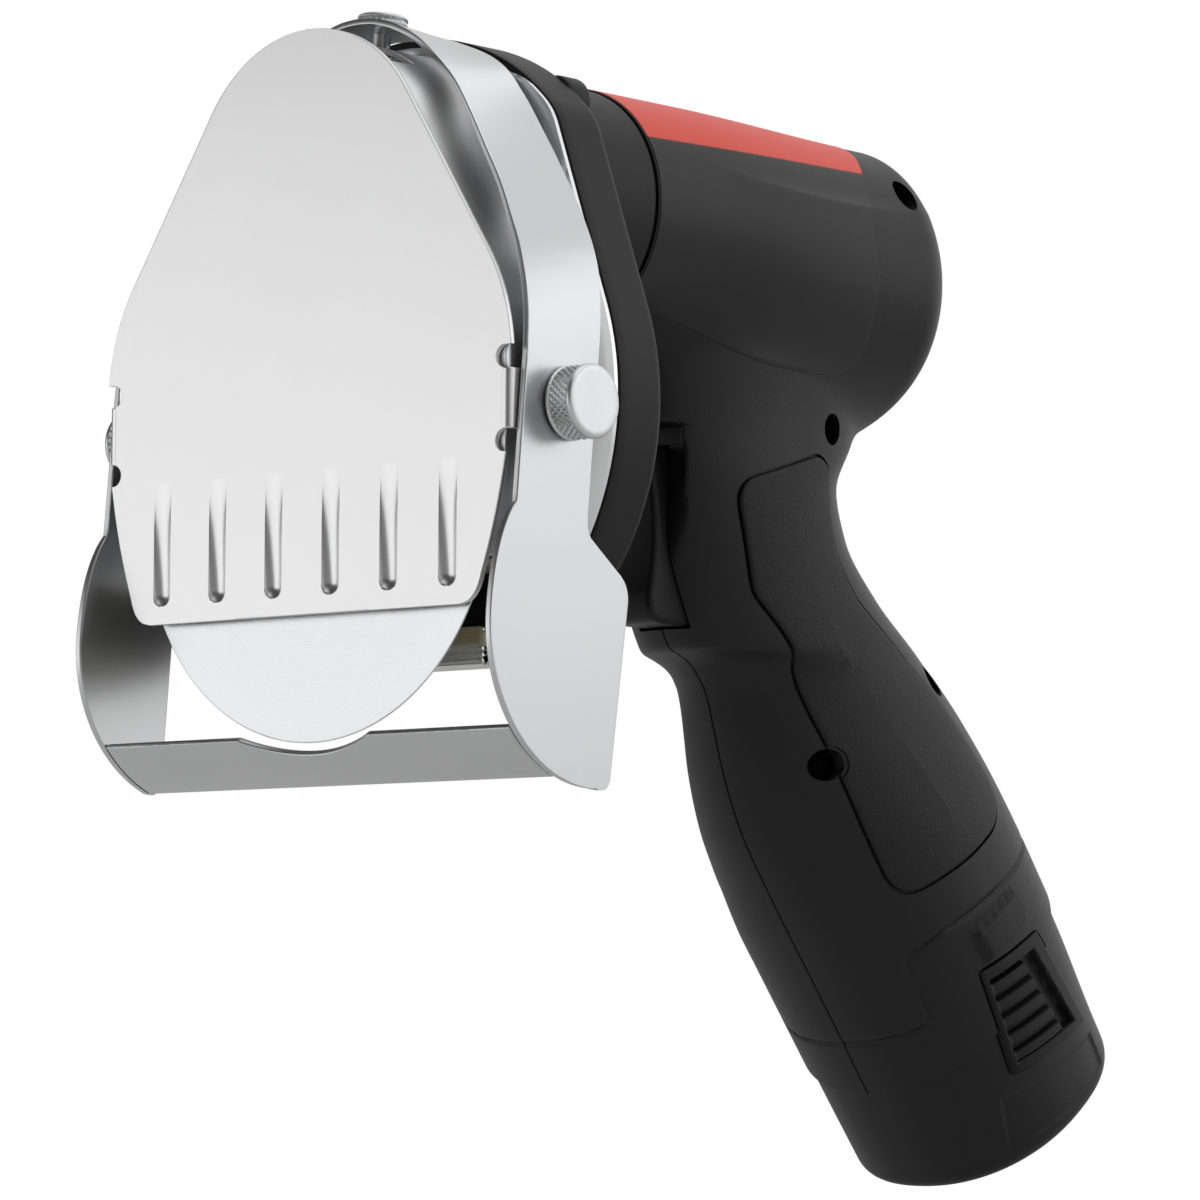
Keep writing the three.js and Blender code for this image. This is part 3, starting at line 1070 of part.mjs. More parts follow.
// Trigger with a hollowed front and a plunger, and the switch that it works
function triggerSwitch() {
  const outline = new THREE.Shape();
  outline.moveTo(TRIGGER_REAR_Y, TRIGGER_TOP_Z);
  outline.lineTo(TRIGGER_FRONT_Y + TRIGGER_EDGE, TRIGGER_TOP_Z);
  outline.quadraticCurveTo(TRIGGER_FRONT_Y, TRIGGER_TOP_Z, TRIGGER_FRONT_Y, TRIGGER_TOP_Z - TRIGGER_EDGE);
  const middle = (TRIGGER_TOP_Z + TRIGGER_FOOT_Z) / 2;
  outline.quadraticCurveTo(
    TRIGGER_FRONT_Y + TRIGGER_HOLLOW, middle, TRIGGER_FRONT_Y, TRIGGER_FOOT_Z + TRIGGER_EDGE,
  );
  outline.quadraticCurveTo(TRIGGER_FRONT_Y, TRIGGER_FOOT_Z, TRIGGER_FRONT_Y + TRIGGER_EDGE, TRIGGER_FOOT_Z);
  outline.lineTo(TRIGGER_REAR_Y, TRIGGER_FOOT_Z);
  const lever = solid(sheetYZ(outline, -TRIGGER_HALF, TRIGGER_HALF));
  const plungerEnd = TRIGGER_REAR_Y + PLUNGER_L;
  const reach = PLUNGER_HALF + FIT;
  const plunger = block(
    -PLUNGER_HALF, PLUNGER_HALF, TRIGGER_REAR_Y - 1, plungerEnd, middle - PLUNGER_HALF, middle + PLUNGER_HALF,
  );
  add('trigger', join(lever, plunger), CASE_BLACK);
  const front = TRIGGER_REAR_Y + TRIGGER_TRAVEL + FIT;
  const body = block(-SWITCH_HALF, SWITCH_HALF, front, front + SWITCH_L, SWITCH_FOOT_Z, SWITCH_TOP_Z);
  const hole = block(
    -reach, reach, front - 1, plungerEnd + TRIGGER_TRAVEL + FIT, middle - reach, middle + reach,
  );
  add('switch_body', cut(body, hole), CASE_BLACK);
}

// Two points on the handle's side at equal distances from the latch's middle, on a leaning line
function latchLine(s, half) {
  return [[LATCH_T - half, s - LATCH_LEAN * half], [LATCH_T + half, s + LATCH_LEAN * half]];
}

// Latch outline on the handle's side: a leaning trapezium that widens to the foot
function latchOutline(grow) {
  const head = latchLine(LATCH_TOP_S - grow, LATCH_TOP_W / 2 + grow);
  const foot = latchLine(LATCH_TOP_S + LATCH_L + grow, LATCH_FOOT_W / 2 + grow);
  return [...head, ...foot.reverse()];
}

// A square across the handle with rounded corners
function insertOutline(half, corner) {
  const outline = new THREE.Shape();
  outline.absarc(half - corner, GRIP_T + half - corner, corner, 0, Math.PI / 2);
  outline.absarc(corner - half, GRIP_T + half - corner, corner, Math.PI / 2, Math.PI);
  outline.absarc(corner - half, GRIP_T - half + corner, corner, Math.PI, 1.5 * Math.PI);
  outline.absarc(half - corner, GRIP_T - half + corner, corner, 1.5 * Math.PI, 2 * Math.PI);
  return outline;
}

// Battery: case with its insert and latch pockets, cells, board, base plate and latches
function battery() {
  const lower = cut(
    common(gripBody(-BATTERY_INSET), pastGrip(COLLAR_S + FIT, COLLAR_SKEW)),
    pastGrip(BATTERY_S, BATTERY_SKEW),
  );
  const insert = alongGrip(insertOutline(INSERT_HALF, INSERT_CORNER), INSERT_TOP_S, COLLAR_S + LATCH_L / 2);
  const roomHalf = INSERT_HALF - INSERT_WALL;
  const roomCorner = INSERT_CORNER - INSERT_WALL;
  const cellRoom = alongGrip(insertOutline(roomHalf, roomCorner), CELL_TOP_S - FIT, BATTERY_S + CELL_L);
  const baseBody = (rim, depth) => common(
    gripBody(-BATTERY_INSET - rim),
    pastGrip(BATTERY_S - depth, BATTERY_SKEW),
  );
  let body = cut(join(lower, insert), cellRoom, baseBody(BASE_RIM, BASE_T + FIT));
  const floor = LATCH_X - LATCH_TRAVEL - FIT;
  const pocket = latchOutline(FIT);
  body = cut(body, besideGrip(pocket, floor, FAR), besideGrip(pocket, -FAR, -floor));
  add('battery_case', body, SHELL_BLACK);
  const base = cut(baseBody(BASE_RIM + FIT, BASE_T), pastGrip(BATTERY_S, BATTERY_SKEW));
  add('battery_base', base, SHELL_BLACK);

  [[-1, -1], [1, -1], [-1, 1], [1, 1]].forEach(([x, t], i) => {
    const round = new THREE.Shape();
    round.absarc(x * CELL_X, GRIP_T + t * CELL_X, CELL_R, 0, 2 * Math.PI);
    add(`cell_${i + 1}`, alongGrip(round, CELL_TOP_S, CELL_TOP_S + CELL_L, INNER_ROUND), CELL_BLUE);
  });
  const board = alongGrip(insertOutline(roomHalf - FIT, roomCorner), BOARD_S, BOARD_S + BOARD_T);
  add('battery_board', board, BOARD_GREEN);
  const terminal = alongGrip(
    insertOutline(TERMINAL_HALF, TERMINAL_CORNER), INSERT_TOP_S - FIT - TERMINAL_L, INSERT_TOP_S - FIT,
  );
  add('terminal_block', terminal, CASE_BLACK);

  [['latch_left', -FAR, -LATCH_X], ['latch_right', LATCH_X, FAR]].forEach(([name, x0, x1]) => {
    let latch = common(gripBody(LATCH_PROUD), besideGrip(latchOutline(0), x0, x1));
    const pitch = (LATCH_L - 2 * LATCH_FRAME) / LATCH_RIBS;
    for (let i = 0; i < LATCH_RIBS; i += 1) {
      const s = LATCH_TOP_S + LATCH_FRAME + i * pitch;
      const half = LATCH_TOP_W / 2 - LATCH_FRAME + i * pitch * (LATCH_FOOT_W - LATCH_TOP_W) / 2 / LATCH_L;
      const gap = [...latchLine(s, half), ...latchLine(s + pitch / 2, half).reverse()];
      latch = cut(latch, cut(besideGrip(gap, x0, x1), gripBody(LATCH_PROUD - LATCH_RIB_DEPTH)));
    }
    add(name, latch, CASE_BLACK);
  });
}

glidePlate();
bladeGroup();
gearTrain();
bladeHood();
gearCase();
lamp();
guideFrame();
knobs();
motor();
clamshell();
triggerSwitch();
battery();

export default part;
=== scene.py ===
"""Looks of a cordless kebab slicer: sheet steel head, black moulded body and battery.

Lengths are millimetres in the numpy surfaces and metres in Blender. Y runs to the back, Z up, and the
origin lies on the blade's axis at the front of the glide plate.
"""
import math

import bmesh
import bpy
import numpy as np
from mathutils import Matrix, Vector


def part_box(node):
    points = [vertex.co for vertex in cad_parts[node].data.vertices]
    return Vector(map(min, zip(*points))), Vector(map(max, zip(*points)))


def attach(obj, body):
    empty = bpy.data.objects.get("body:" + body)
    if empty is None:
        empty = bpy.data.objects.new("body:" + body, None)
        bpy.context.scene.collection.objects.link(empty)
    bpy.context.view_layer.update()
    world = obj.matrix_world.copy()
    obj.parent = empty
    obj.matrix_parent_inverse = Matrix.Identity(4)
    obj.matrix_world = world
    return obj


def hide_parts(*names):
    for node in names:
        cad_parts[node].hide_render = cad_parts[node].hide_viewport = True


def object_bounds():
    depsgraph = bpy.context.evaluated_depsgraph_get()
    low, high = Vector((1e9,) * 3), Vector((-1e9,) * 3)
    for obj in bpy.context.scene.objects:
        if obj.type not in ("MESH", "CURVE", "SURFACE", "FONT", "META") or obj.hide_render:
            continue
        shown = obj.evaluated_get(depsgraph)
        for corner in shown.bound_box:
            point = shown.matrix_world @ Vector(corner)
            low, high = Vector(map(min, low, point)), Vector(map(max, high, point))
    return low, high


MM = 0.001
PIVOT_Y, PIVOT_Z = 15.4, 17.6
TILT = math.radians(5.25)
WAY = np.array([0.0, math.sin(math.radians(40)), -math.cos(math.radians(40))])
ACROSS = np.array([0.0, math.cos(math.radians(40)), math.sin(math.radians(40))])
GRIP_T = 102.0
MOTOR_Z = 71.0
SIDES = ((-1, "left"), (1, "right"))

SHEET_T, STRAP_T, SHELL_T = 1.2, 1.5, 2.4
PLATE_FOOT, PLATE_TOP = -23.6, 99.4
TAB_X, LEG_X, KNOB_X = 57.7, 59.5, 59.8
TAB_HALF, NOTCH_R = 6.2, 2.35
GROOVES, GROOVE_PITCH, GROOVE_R, GROOVE_DEEP = 6, 16.4, 2.5, 1.45
GROOVE_LOW, GROOVE_HIGH = -17.2, 6.5
BLADE_R, BLADE_FRONT, BLADE_BACK = 50.0, 3.6, 4.8
PADDLE_Y, PADDLE_Z, PADDLE_R = 13.5, -44.8, 32.0
PAN_FRONT, PAN_BACK = 30.0, 31.2
NECK_R, BARREL_R, BARREL_END = 26.7, 27.0, 177.65
WELL_R = 3.6
BATTERY_DROP = 0.043
PHOTO_PX, FOCAL_PX, SENSOR_MM = 1200, 5824.09, 36

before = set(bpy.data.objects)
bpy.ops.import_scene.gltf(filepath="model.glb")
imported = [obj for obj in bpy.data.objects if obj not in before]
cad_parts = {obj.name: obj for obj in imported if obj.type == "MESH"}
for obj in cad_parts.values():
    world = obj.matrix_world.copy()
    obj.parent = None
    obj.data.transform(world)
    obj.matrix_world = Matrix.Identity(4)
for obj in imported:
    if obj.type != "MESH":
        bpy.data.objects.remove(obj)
cad_box = [list(corner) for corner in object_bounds()]


# Curves

def unit(v):
    """Vectors scaled to length one."""
    return v / np.maximum(np.linalg.norm(v, axis=-1, keepdims=True), 1e-12)


def ease(t):
    """A smooth step from 0 to 1 as t goes from 0 to 1."""
    t = np.clip(t, 0, 1)
    return t * t * (3 - 2 * t)


def smooth_line(stations):
    """A monotone cubic through [position, value] stations: Hermite pieces with harmonic mean slopes."""
    x, y = np.array(stations, float).T
    h = np.diff(x)
    d = np.diff(y) / h
    slope = np.zeros_like(x)
    slope[0], slope[-1] = d[0], d[-1]
    same = d[:-1] * d[1:] > 0
    w1, w2 = 2 * h[1:] + h[:-1], h[1:] + 2 * h[:-1]
    lower = np.where(same, d[:-1], 1)
    upper = np.where(same, d[1:], 1)
    slope[1:-1] = np.where(same, (w1 + w2) / (w1 / lower + w2 / upper), 0)

    def at(t):
        t = np.clip(t, x[0], x[-1])
        i = np.clip(np.searchsorted(x, t) - 1, 0, len(h) - 1)
        u = (t - x[i]) / h[i]
        a, b = y[i], y[i + 1]
        return (a + (b - a) * u * u * (3 - 2 * u)
                + h[i] * u * (1 - u) * (slope[i] * (1 - u) - slope[i + 1] * u))

    return at


def arc(cx, cy, r, start, end, n=40):
    """Points on a circle from one angle to another, in degrees."""
    a = np.radians(np.linspace(start, end, n))
    return np.stack([cx + r * np.cos(a), cy + r * np.sin(a)], -1)


def circle(r, n, cx=0.0, cy=0.0):
    """Points round a whole circle, the last just before the first."""
    return arc(cx, cy, r, 0, 360, n + 1)[:-1]


def close_ends(near, far, n):
    """Shares from 0 to 1 whose first and last steps are narrow, for rows that end in a rounded edge."""
    return np.concatenate([[0, near], np.linspace(far, 1 - far, n), [1 - near, 1]])


def bend(p0, control, p1, n=24):
    """A quadratic curve from p0 to p1, drawn towards a control point."""
    t = np.linspace(0, 1, n)[:, None]
    return (1 - t) ** 2 * np.array(p0) + 2 * t * (1 - t) * np.array(control) + t ** 2 * np.array(p1)


def even(points, n, closed=False):
    """A polyline resampled into n points at equal distances along it."""
    p = np.array(points, float)
    if closed:
        p = np.concatenate([p, p[:1]])
    step = np.linalg.norm(np.diff(p, axis=0), axis=1)
    p = p[np.concatenate([[True], step > 1e-9])]
    run = np.concatenate([[0], np.cumsum(np.linalg.norm(np.diff(p, axis=0), axis=1))])
    at = np.linspace(0, run[-1], n, endpoint=not closed)
    return np.stack([np.interp(at, run, p[:, k]) for k in range(p.shape[1])], -1)


def outline_normals(o):
    """Outward normals of a closed outline that runs anticlockwise."""
    t = unit(np.roll(o, -1, 0) - np.roll(o, 1, 0))
    return np.stack([t[:, 1], -t[:, 0]], -1)


def softened(outline, n, rounds):
    """A closed outline resampled, with its corners rounded by repeated averaging of neighbours."""
    o = even(outline, n, closed=True)
    for _ in range(rounds):
        o = (np.roll(o, 1, 0) + 2 * o + np.roll(o, -1, 0)) / 4
    return o


# Surfaces: each gives points and quads

def quads(rows, cols, ring=False, loop=False):
    """Quads between neighbours of a grid stored row by row; ring joins its last column to its first,
    loop its last row to its first."""
    r, c = np.meshgrid(np.arange(rows - (not loop)), np.arange(cols - (not ring)), indexing="ij")
    r2, c2 = (r + 1) % rows, (c + 1) % cols
    return np.stack([r * cols + c, r * cols + c2, r2 * cols + c2, r2 * cols + c], -1).reshape(-1, 4)


def outward(points, faces):
    """The faces of a closed surface, turned round where its signed volume is negative."""
    a, b, c, d = (points[faces[:, k]] for k in range(4))
    volume = np.sum(a * np.cross(b, c)) + np.sum(a * np.cross(c, d))
    return faces if volume > 0 else faces[:, ::-1]


def skin(rings, loop=False):
    """Closed rings of points joined into a skin; unless the rows loop, each end closes on its middle."""
    p = rings
    if not loop:
        ends = [np.broadcast_to(p[k].mean(0), p[k].shape)[None] for k in (0, -1)]
        p = np.concatenate([ends[0], p, ends[1]])
    points = p.reshape(-1, 3)
    return points, outward(points, quads(p.shape[0], p.shape[1], True, loop))


def grid_normals(p):
    """Unit normals of a grid, from the cross product of its column and row directions."""
    return unit(np.cross(np.gradient(p, axis=1), np.gradient(p, axis=0)))


def facing(n, way):
    """Normals turned round where they point against a way."""
    return n * np.where(np.sum(n * way, -1, keepdims=True) < 0, -1, 1)


def border(rows, cols):
    """Rows and columns of the points round a grid's border, in order."""
    r = np.concatenate([np.zeros(cols - 1), np.arange(rows - 1), np.full(cols - 1, rows - 1),
                        np.arange(rows - 1, 0, -1)])
    c = np.concatenate([np.arange(cols - 1), np.full(rows - 1, cols - 1), np.arange(cols - 1, 0, -1),
                        np.zeros(rows - 1)])
    return r.astype(int), c.astype(int)


def boxed(front, back, rim):
    """Two grids of one size, closed round their border by rows of rim points."""
    rows, cols = front.shape[:2]
    points = np.concatenate([grid.reshape(-1, 3) for grid in (front, back, rim)])
    face = quads(rows, cols)
    edge = quads(len(rim), rim.shape[1], ring=True) + 2 * rows * cols
    return points, outward(points, np.concatenate([face, face[:, ::-1] + rows * cols, edge[:, ::-1]]))


def sheet(p, n, thick, edge=0.25):
    """A grid given a thickness against its normals, with its four edges rounded over: a quarter circle at
    the front, a straight wall, and a quarter circle at the back, carried round the grid's border."""
    rows, cols = p.shape[:2]
    r, c = border(rows, cols)
    out = p[r, c] - p[np.clip(r, 1, rows - 2), np.clip(c, 1, cols - 2)]
    out = unit(out - n[r, c] * np.sum(out * n[r, c], -1, keepdims=True))
    turn = np.radians([0, 30, 60, 90])
    a, d = edge * (np.sin(turn) - 1), edge * (1 - np.cos(turn))
    aside = np.concatenate([a, a[::-1]])[:, None, None]
    deep = np.concatenate([d, thick - d[::-1]])[:, None, None]
    rim = p[r, c] + aside * out - deep * n[r, c]
    front, back = p.copy(), p - thick * n
    front[r, c], back[r, c] = rim[0], rim[-1]
    return boxed(front, back, rim)


def slab(outline, lo, hi, edge, place, steps=5):
    """A closed outline carried from lo to hi. Near each end it is drawn in along its normals on a quarter
    circle, so the edges are round. place turns the outline's two numbers and the depth into a point."""
    turn = np.linspace(0, np.pi / 2, steps)
    inset = np.concatenate([edge * (1 - np.sin(turn)), edge * (1 - np.sin(turn[::-1]))])
    depth = np.concatenate([lo + edge * (1 - np.cos(turn)), hi - edge * (1 - np.cos(turn[::-1]))])
    flat = outline - inset[:, None, None] * outline_normals(outline)
    return skin(place(flat[..., 0], flat[..., 1], np.broadcast_to(depth[:, None], flat.shape[:2])))


def turned(profile, sides, place):
    """A profile of [radius, distance along the axis] points turned round the axis."""
    profile = np.array(profile, float)
    a = np.linspace(0, 2 * np.pi, sides, endpoint=False)
    r, along = profile[:, :1], np.broadcast_to(profile[:, 1:], (len(profile), sides))
    return skin(place(r * np.cos(a), r * np.sin(a), along))


def along_x(y, z):
    """Places outline numbers as Y and Z from a centre, depth as X."""
    return lambda u, v, d: np.stack([d, y + u, z + v], -1)


def along_y(x, z):
    """Places outline numbers as X and Z from a centre, depth as Y."""
    return lambda u, v, d: np.stack([x + u, d, z + v], -1)


def upright(flat, y):
    """Points of an outline in X and Z at a Y, which is one number or one for each point."""
    return np.stack([flat[:, 0], np.broadcast_to(y, len(flat)), flat[:, 1]], -1)


def along_grip(u, v, d):
    """Places outline numbers as X and the distance across the handle axis, depth along that axis."""
    across = (GRIP_T + v)[..., None] * ACROSS
    return d[..., None] * WAY + across + u[..., None] * np.array([1.0, 0, 0])


def tilted(p):
    """Points measured from the guide's pivot, tilted forward as the guide stands and set on the pivot."""
    y, z = p[..., 1], p[..., 2]
    lean, rise = np.cos(TILT), np.sin(TILT)
    return np.stack([p[..., 0], PIVOT_Y + y * lean + z * rise, PIVOT_Z - y * rise + z * lean], -1)


def grip_place(p):
    """Distance along the handle axis and across it of points in space."""
    return p @ WAY, p @ ACROSS - GRIP_T


# Pieces

def build(name, surfaces):
    """One object from closed surfaces, with the points at poles and seams merged."""
    shift, points, faces = 0, [], []
    for p, f in surfaces:
        points.append(p * MM)
        faces.append(f + shift)
        shift += len(p)
    mesh = bpy.data.meshes.new(name)
    mesh.from_pydata(np.concatenate(points), [], np.concatenate(faces).tolist())
    work = bmesh.new()
    work.from_mesh(mesh)
    bmesh.ops.remove_doubles(work, verts=work.verts, dist=2e-6)
    work.to_mesh(mesh)
    work.free()
    piece = bpy.data.objects.new(name, mesh)
    bpy.context.scene.collection.objects.link(piece)
    return piece


def carve(piece, surfaces):
    """Cuts closed surfaces out of a piece."""
    tool = build("cutter", surfaces)
    cut = piece.modifiers.new("cut", "BOOLEAN")
    cut.operation, cut.solver, cut.object = "DIFFERENCE", "EXACT", tool
    graph = bpy.context.evaluated_depsgraph_get()
    mesh = bpy.data.meshes.new_from_object(piece.evaluated_get(graph))
    piece.modifiers.clear()
    spent = piece.data
    piece.data = mesh
    bpy.data.meshes.remove(spent)
    bpy.data.objects.remove(tool)
    return piece


def finish_piece(piece, material, body, slot, *nodes, sharp=38):
    """Gives a piece its material and smooth faces, and sets it on its body in place of its nodes."""
    piece.data.materials.clear()
    piece.data.materials.append(material)
    piece.data.polygons.foreach_set("use_smooth", np.ones(len(piece.data.polygons), bool))
    piece.data.set_sharp_from_angle(angle=math.radians(sharp))
    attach(piece, body)
    if nodes:
        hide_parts(*nodes)
    return piece


def join_in(piece, surfaces):
    """Adds closed surfaces to a piece's mesh."""
    extra = build("extra", surfaces)
    work = bmesh.new()
    work.from_mesh(piece.data)
    work.from_mesh(extra.data)
    work.to_mesh(piece.data)
    work.free()
    bpy.data.objects.remove(extra)
    return piece


# Shader work

def tone(r, g, b):
    """A colour given in display values from 0 to 255, as the shader wants it."""
    c = np.array([r, g, b]) / 255
    linear = np.where(c <= 0.04045, c / 12.92, ((c + 0.055) / 1.055) ** 2.4)
    return (*linear.tolist(), 1.0)


class Wire:
    """A shader value; arithmetic on it adds Math nodes."""

    def __init__(self, finish, socket):
        self.finish, self.socket = finish, socket

    def math(self, operation, a, b=0.0):
        return self.finish.node("ShaderNodeMath", {"operation": operation}, {0: a, 1: b})

    def __add__(self, other):
        return self.math("ADD", self, other)

    def __sub__(self, other):
        return self.math("SUBTRACT", self, other)

    def __mul__(self, other):
        return self.math("MULTIPLY", self, other)

    def __radd__(self, other):
        return self.math("ADD", other, self)

    def __rsub__(self, other):
        return self.math("SUBTRACT", other, self)

    def __rmul__(self, other):
        return self.math("MULTIPLY", other, self)

    def root(self):
        return self.math("SQRT", self)

    def step(self, low, high):
        return self.finish.node("ShaderNodeMapRange", {"interpolation_type": "SMOOTHSTEP"},
                                {"Value": self, "From Min": low, "From Max": high})


class Bench:
    """A node tree, and the one way in which a node is added to it."""

    def __init__(self, tree):
        self.tree = tree

    def node(self, kind, settings=None, sockets=None, out=0):
        made = self.tree.nodes.new(kind)
        for key, value in (settings or {}).items():
            setattr(made, key, value)
        for key, value in (sockets or {}).items():
            if isinstance(value, Wire):
                self.tree.links.new(value.socket, made.inputs[key])
            else:
                made.inputs[key].default_value = value
        return Wire(self, made.outputs[out])

    def light_path(self, *kinds):
        """One where a ray is of one of the kinds, such as Is Camera Ray, else nought."""
        total = None
        for kind in kinds:
            ray = self.node("ShaderNodeLightPath", out=kind)
            total = ray if total is None else ray.math("MAXIMUM", total, ray)
        return total


class Finish(Bench):
    """One material: constants on the surface shader, and nodes for what changes over the surface."""

    def __init__(self, name, **constants):
        self.material = bpy.data.materials.new(name)
        self.material.use_nodes = True
        super().__init__(self.material.node_tree)
        self.shader = self.tree.nodes["Principled BSDF"]
        for key, value in constants.items():
            self.shader.inputs[key.replace("_", " ")].default_value = value

    def place(self, scale=(1, 1, 1)):
        spot = self.node("ShaderNodeTexCoord", out="Object")
        return self.node("ShaderNodeMapping", {}, {"Vector": spot, "Scale": scale})

    def axes(self):
        spot = self.node("ShaderNodeTexCoord", out="Object")
        split = self.node("ShaderNodeSeparateXYZ", {}, {0: spot})
        made = split.socket.node
        return [Wire(self, made.outputs[k]) for k in range(3)]

    def noise(self, vector, scale, detail=2.0, rough=0.5):
        return self.node("ShaderNodeTexNoise", {},
                         {"Vector": vector, "Scale": scale, "Detail": detail, "Roughness": rough})

    def blend(self, share, first, second):
        return self.node("ShaderNodeMix", {"data_type": "RGBA"}, {0: share, 6: first, 7: second}, out=2)

    def feed(self, socket, value):
        self.tree.links.new(value.socket, self.shader.inputs[socket])

    def bump(self, height, strength, distance):
        sockets = {"Strength": strength, "Distance": distance, "Height": height}
        self.feed("Normal", self.node("ShaderNodeBump", {}, sockets))


def speckled(name, low, high, rough, fine, slow, share, spread, strength, deep=0.0002, metallic=1.0):
    """Two tones mixed by fine noise, scaled along each axis, and a slow cloud; the fine noise also varies the
    roughness and stands up as bump."""
    f = Finish(name, Metallic=metallic)
    grain = f.noise(f.place(fine), 1.0, 3.0, 0.6)
    cloud = f.noise(f.place((slow, slow, slow)), 1.0, 2.0)
    f.feed("Base Color", f.blend(grain * share + cloud * (1 - share), low, high))
    f.feed("Roughness", rough + grain * spread)
    f.bump(grain, strength, deep)
    return f.material


def sheet_steel(name, stretch, low, high):
    """Brushed stainless sheet: the fine noise is drawn out along the brushing."""
    return speckled(name, low, high, 0.28, stretch, 30, 0.6, 0.1, 0.03, 0.0001)


def ground_steel(name):
    """Blade steel: rings of grinding about the axis, as noise along the radius."""
    f = Finish(name, Metallic=1.0)
    x, _, z = f.axes()
    sockets = {"W": (x * x + z * z).root() * 2600.0, "Detail": 2.0}
    rings = f.node("ShaderNodeTexNoise", {"noise_dimensions": "1D"}, sockets)
    f.feed("Base Color", f.blend(rings, tone(201, 202, 203), tone(209, 209, 210)))
    f.feed("Roughness", 0.2 + rings * 0.14)
    f.bump(rings, 0.05, 0.0002)
    return f.material


def turned_metal(name, low, high, rough):
    """Machined metal: fine tool marks, with a cloud of handling over them."""
    return speckled(name, low, high, rough, (900, 900, 900), 120, 0.5, 0.15, 0.05)


def moulded(name, low, high, rough, grain_mm, strength, gloss=0.32):
    """Moulded plastic: spark-eroded grain as cells with noise over them, and a slow change of tone."""
    f = Finish(name, Specular_IOR_Level=gloss)
    cells = f.node("ShaderNodeTexVoronoi", {}, {"Vector": f.place(), "Scale": 1000 / grain_mm})
    speck = f.noise(f.place(), 1600 / grain_mm, 2.0)
    cloud = f.noise(f.place(), 28.0, 3.0)
    f.feed("Base Color", f.blend(cloud * 0.7 + speck * 0.3, low, high))
    f.feed("Roughness", rough + speck * 0.12 + cloud * 0.06)
    f.bump(cells + speck * 0.6, strength, 0.0003)
    return f.material


def label_vinyl(name):
    """Bare label: a coloured band above a slanting line and a charcoal field below it, with a fine grain."""
    f = Finish(name, Specular_IOR_Level=0.35)
    _, y, z = f.axes()
    band = (z - y * 0.0282).step(0.0827, 0.0832)
    fibre = f.noise(f.place(), 900.0, 2.0)
    red = f.blend(fibre, tone(250, 85, 70), tone(254, 95, 80))
    dark = f.blend(fibre, tone(19, 18, 21), tone(26, 25, 28))
    f.feed("Base Color", f.blend(band, dark, red))
    f.feed("Roughness", 0.42 + fibre * 0.12)
    f.bump(fibre, 0.03, 0.0002)
    return f.material


def lens_plastic(name):
    """Clear lamp bar: yellowish at its top and clear below, with streaks of moulding flow."""
    f = Finish(name, Transmission_Weight=0.4, IOR=1.49)
    upper = f.axes()[2].step(-0.0310, -0.0285)
    flow = f.noise(f.place((120, 300, 900)), 1.0, 3.0)
    clear = f.blend(flow, tone(226, 226, 220), tone(252, 252, 250))
    amber = f.blend(flow, tone(206, 190, 140), tone(240, 232, 196))
    f.feed("Base Color", f.blend(upper, clear, amber))
    f.feed("Roughness", 0.1 + flow * 0.15)
    f.bump(flow, 0.15, 0.0004)
    return f.material


def flecked(name, low, high, rough, grain_mm, metallic=0.0):
    """A plain finish with specks of a second tone: boards, nylon, sleeves and windings."""
    fine = 1000 / grain_mm
    return speckled(name, low, high, rough, (fine, fine, fine), 60, 0.5, 0.15, 0.08, metallic=metallic)


PLATE_STEEL = sheet_steel("plate_steel", (2600, 2600, 90), tone(208, 208, 209), tone(216, 216, 216))
# Painted shade: the strap and the rolled bar are the same stainless as the glide plate, given darker tones to
# stand in for the duller light on the paddles and the bar.
STRAP_STEEL_PAINTED_SHADE = sheet_steel("strap_steel_painted_shade", (90, 2600, 2600), tone(190, 191, 192), tone(202, 202, 203))
# Painted light: the hood is the same stainless as the glide plate, given lighter tones so that its wall,
# which lies in the strap's shade, looks lit.
HOOD_STEEL_PAINTED_LIGHT = sheet_steel("hood_steel_painted_light", (2600, 90, 2600), tone(220, 221, 222), tone(230, 230, 231))
BLADE_STEEL = ground_steel("ground_blade_steel")
KNOB_STEEL = turned_metal("knurled_steel", tone(198, 199, 200), tone(214, 214, 215), 0.3)
MACHINE_STEEL = turned_metal("machine_steel", tone(138, 140, 144), tone(174, 176, 180), 0.36)
BRASS = turned_metal("machined_brass", tone(186, 158, 90), tone(214, 186, 118), 0.3)
WINDING = flecked("varnished_winding", tone(160, 88, 48), tone(206, 130, 80), 0.35, 0.6, 0.9)
CASE_PLASTIC = moulded("case_plastic", tone(14, 14, 16), tone(20, 19, 23), 0.44, 0.35, 0.12, 0.3)
SHELL_PLASTIC = moulded("shell_plastic", tone(11, 10, 13), tone(16, 15, 19), 0.38, 0.4, 0.12)
BATTERY_PLASTIC = moulded("battery_plastic", tone(10, 9, 12), tone(15, 14, 17), 0.4, 0.4, 0.12)
GRIP_RUBBER = moulded("grip_rubber", tone(13, 12, 15), tone(19, 18, 22), 0.46, 0.6, 0.26)
LATCH_PLASTIC = moulded("latch_plastic", tone(8, 8, 9), tone(12, 12, 14), 0.4, 0.35, 0.1, 0.26)
LABEL = label_vinyl("bare_label")
LENS = lens_plastic("lamp_lens_plastic")
BOARD = flecked("lacquered_board", tone(30, 74, 46), tone(48, 104, 66), 0.35, 0.8)
SLEEVE = flecked("cell_sleeve", tone(32, 78, 140), tone(52, 104, 170), 0.3, 1.2)
NYLON = flecked("moulded_nylon", tone(222, 220, 210), tone(240, 238, 230), 0.42, 0.5)


# Head: glide plate, blade, hood, guide

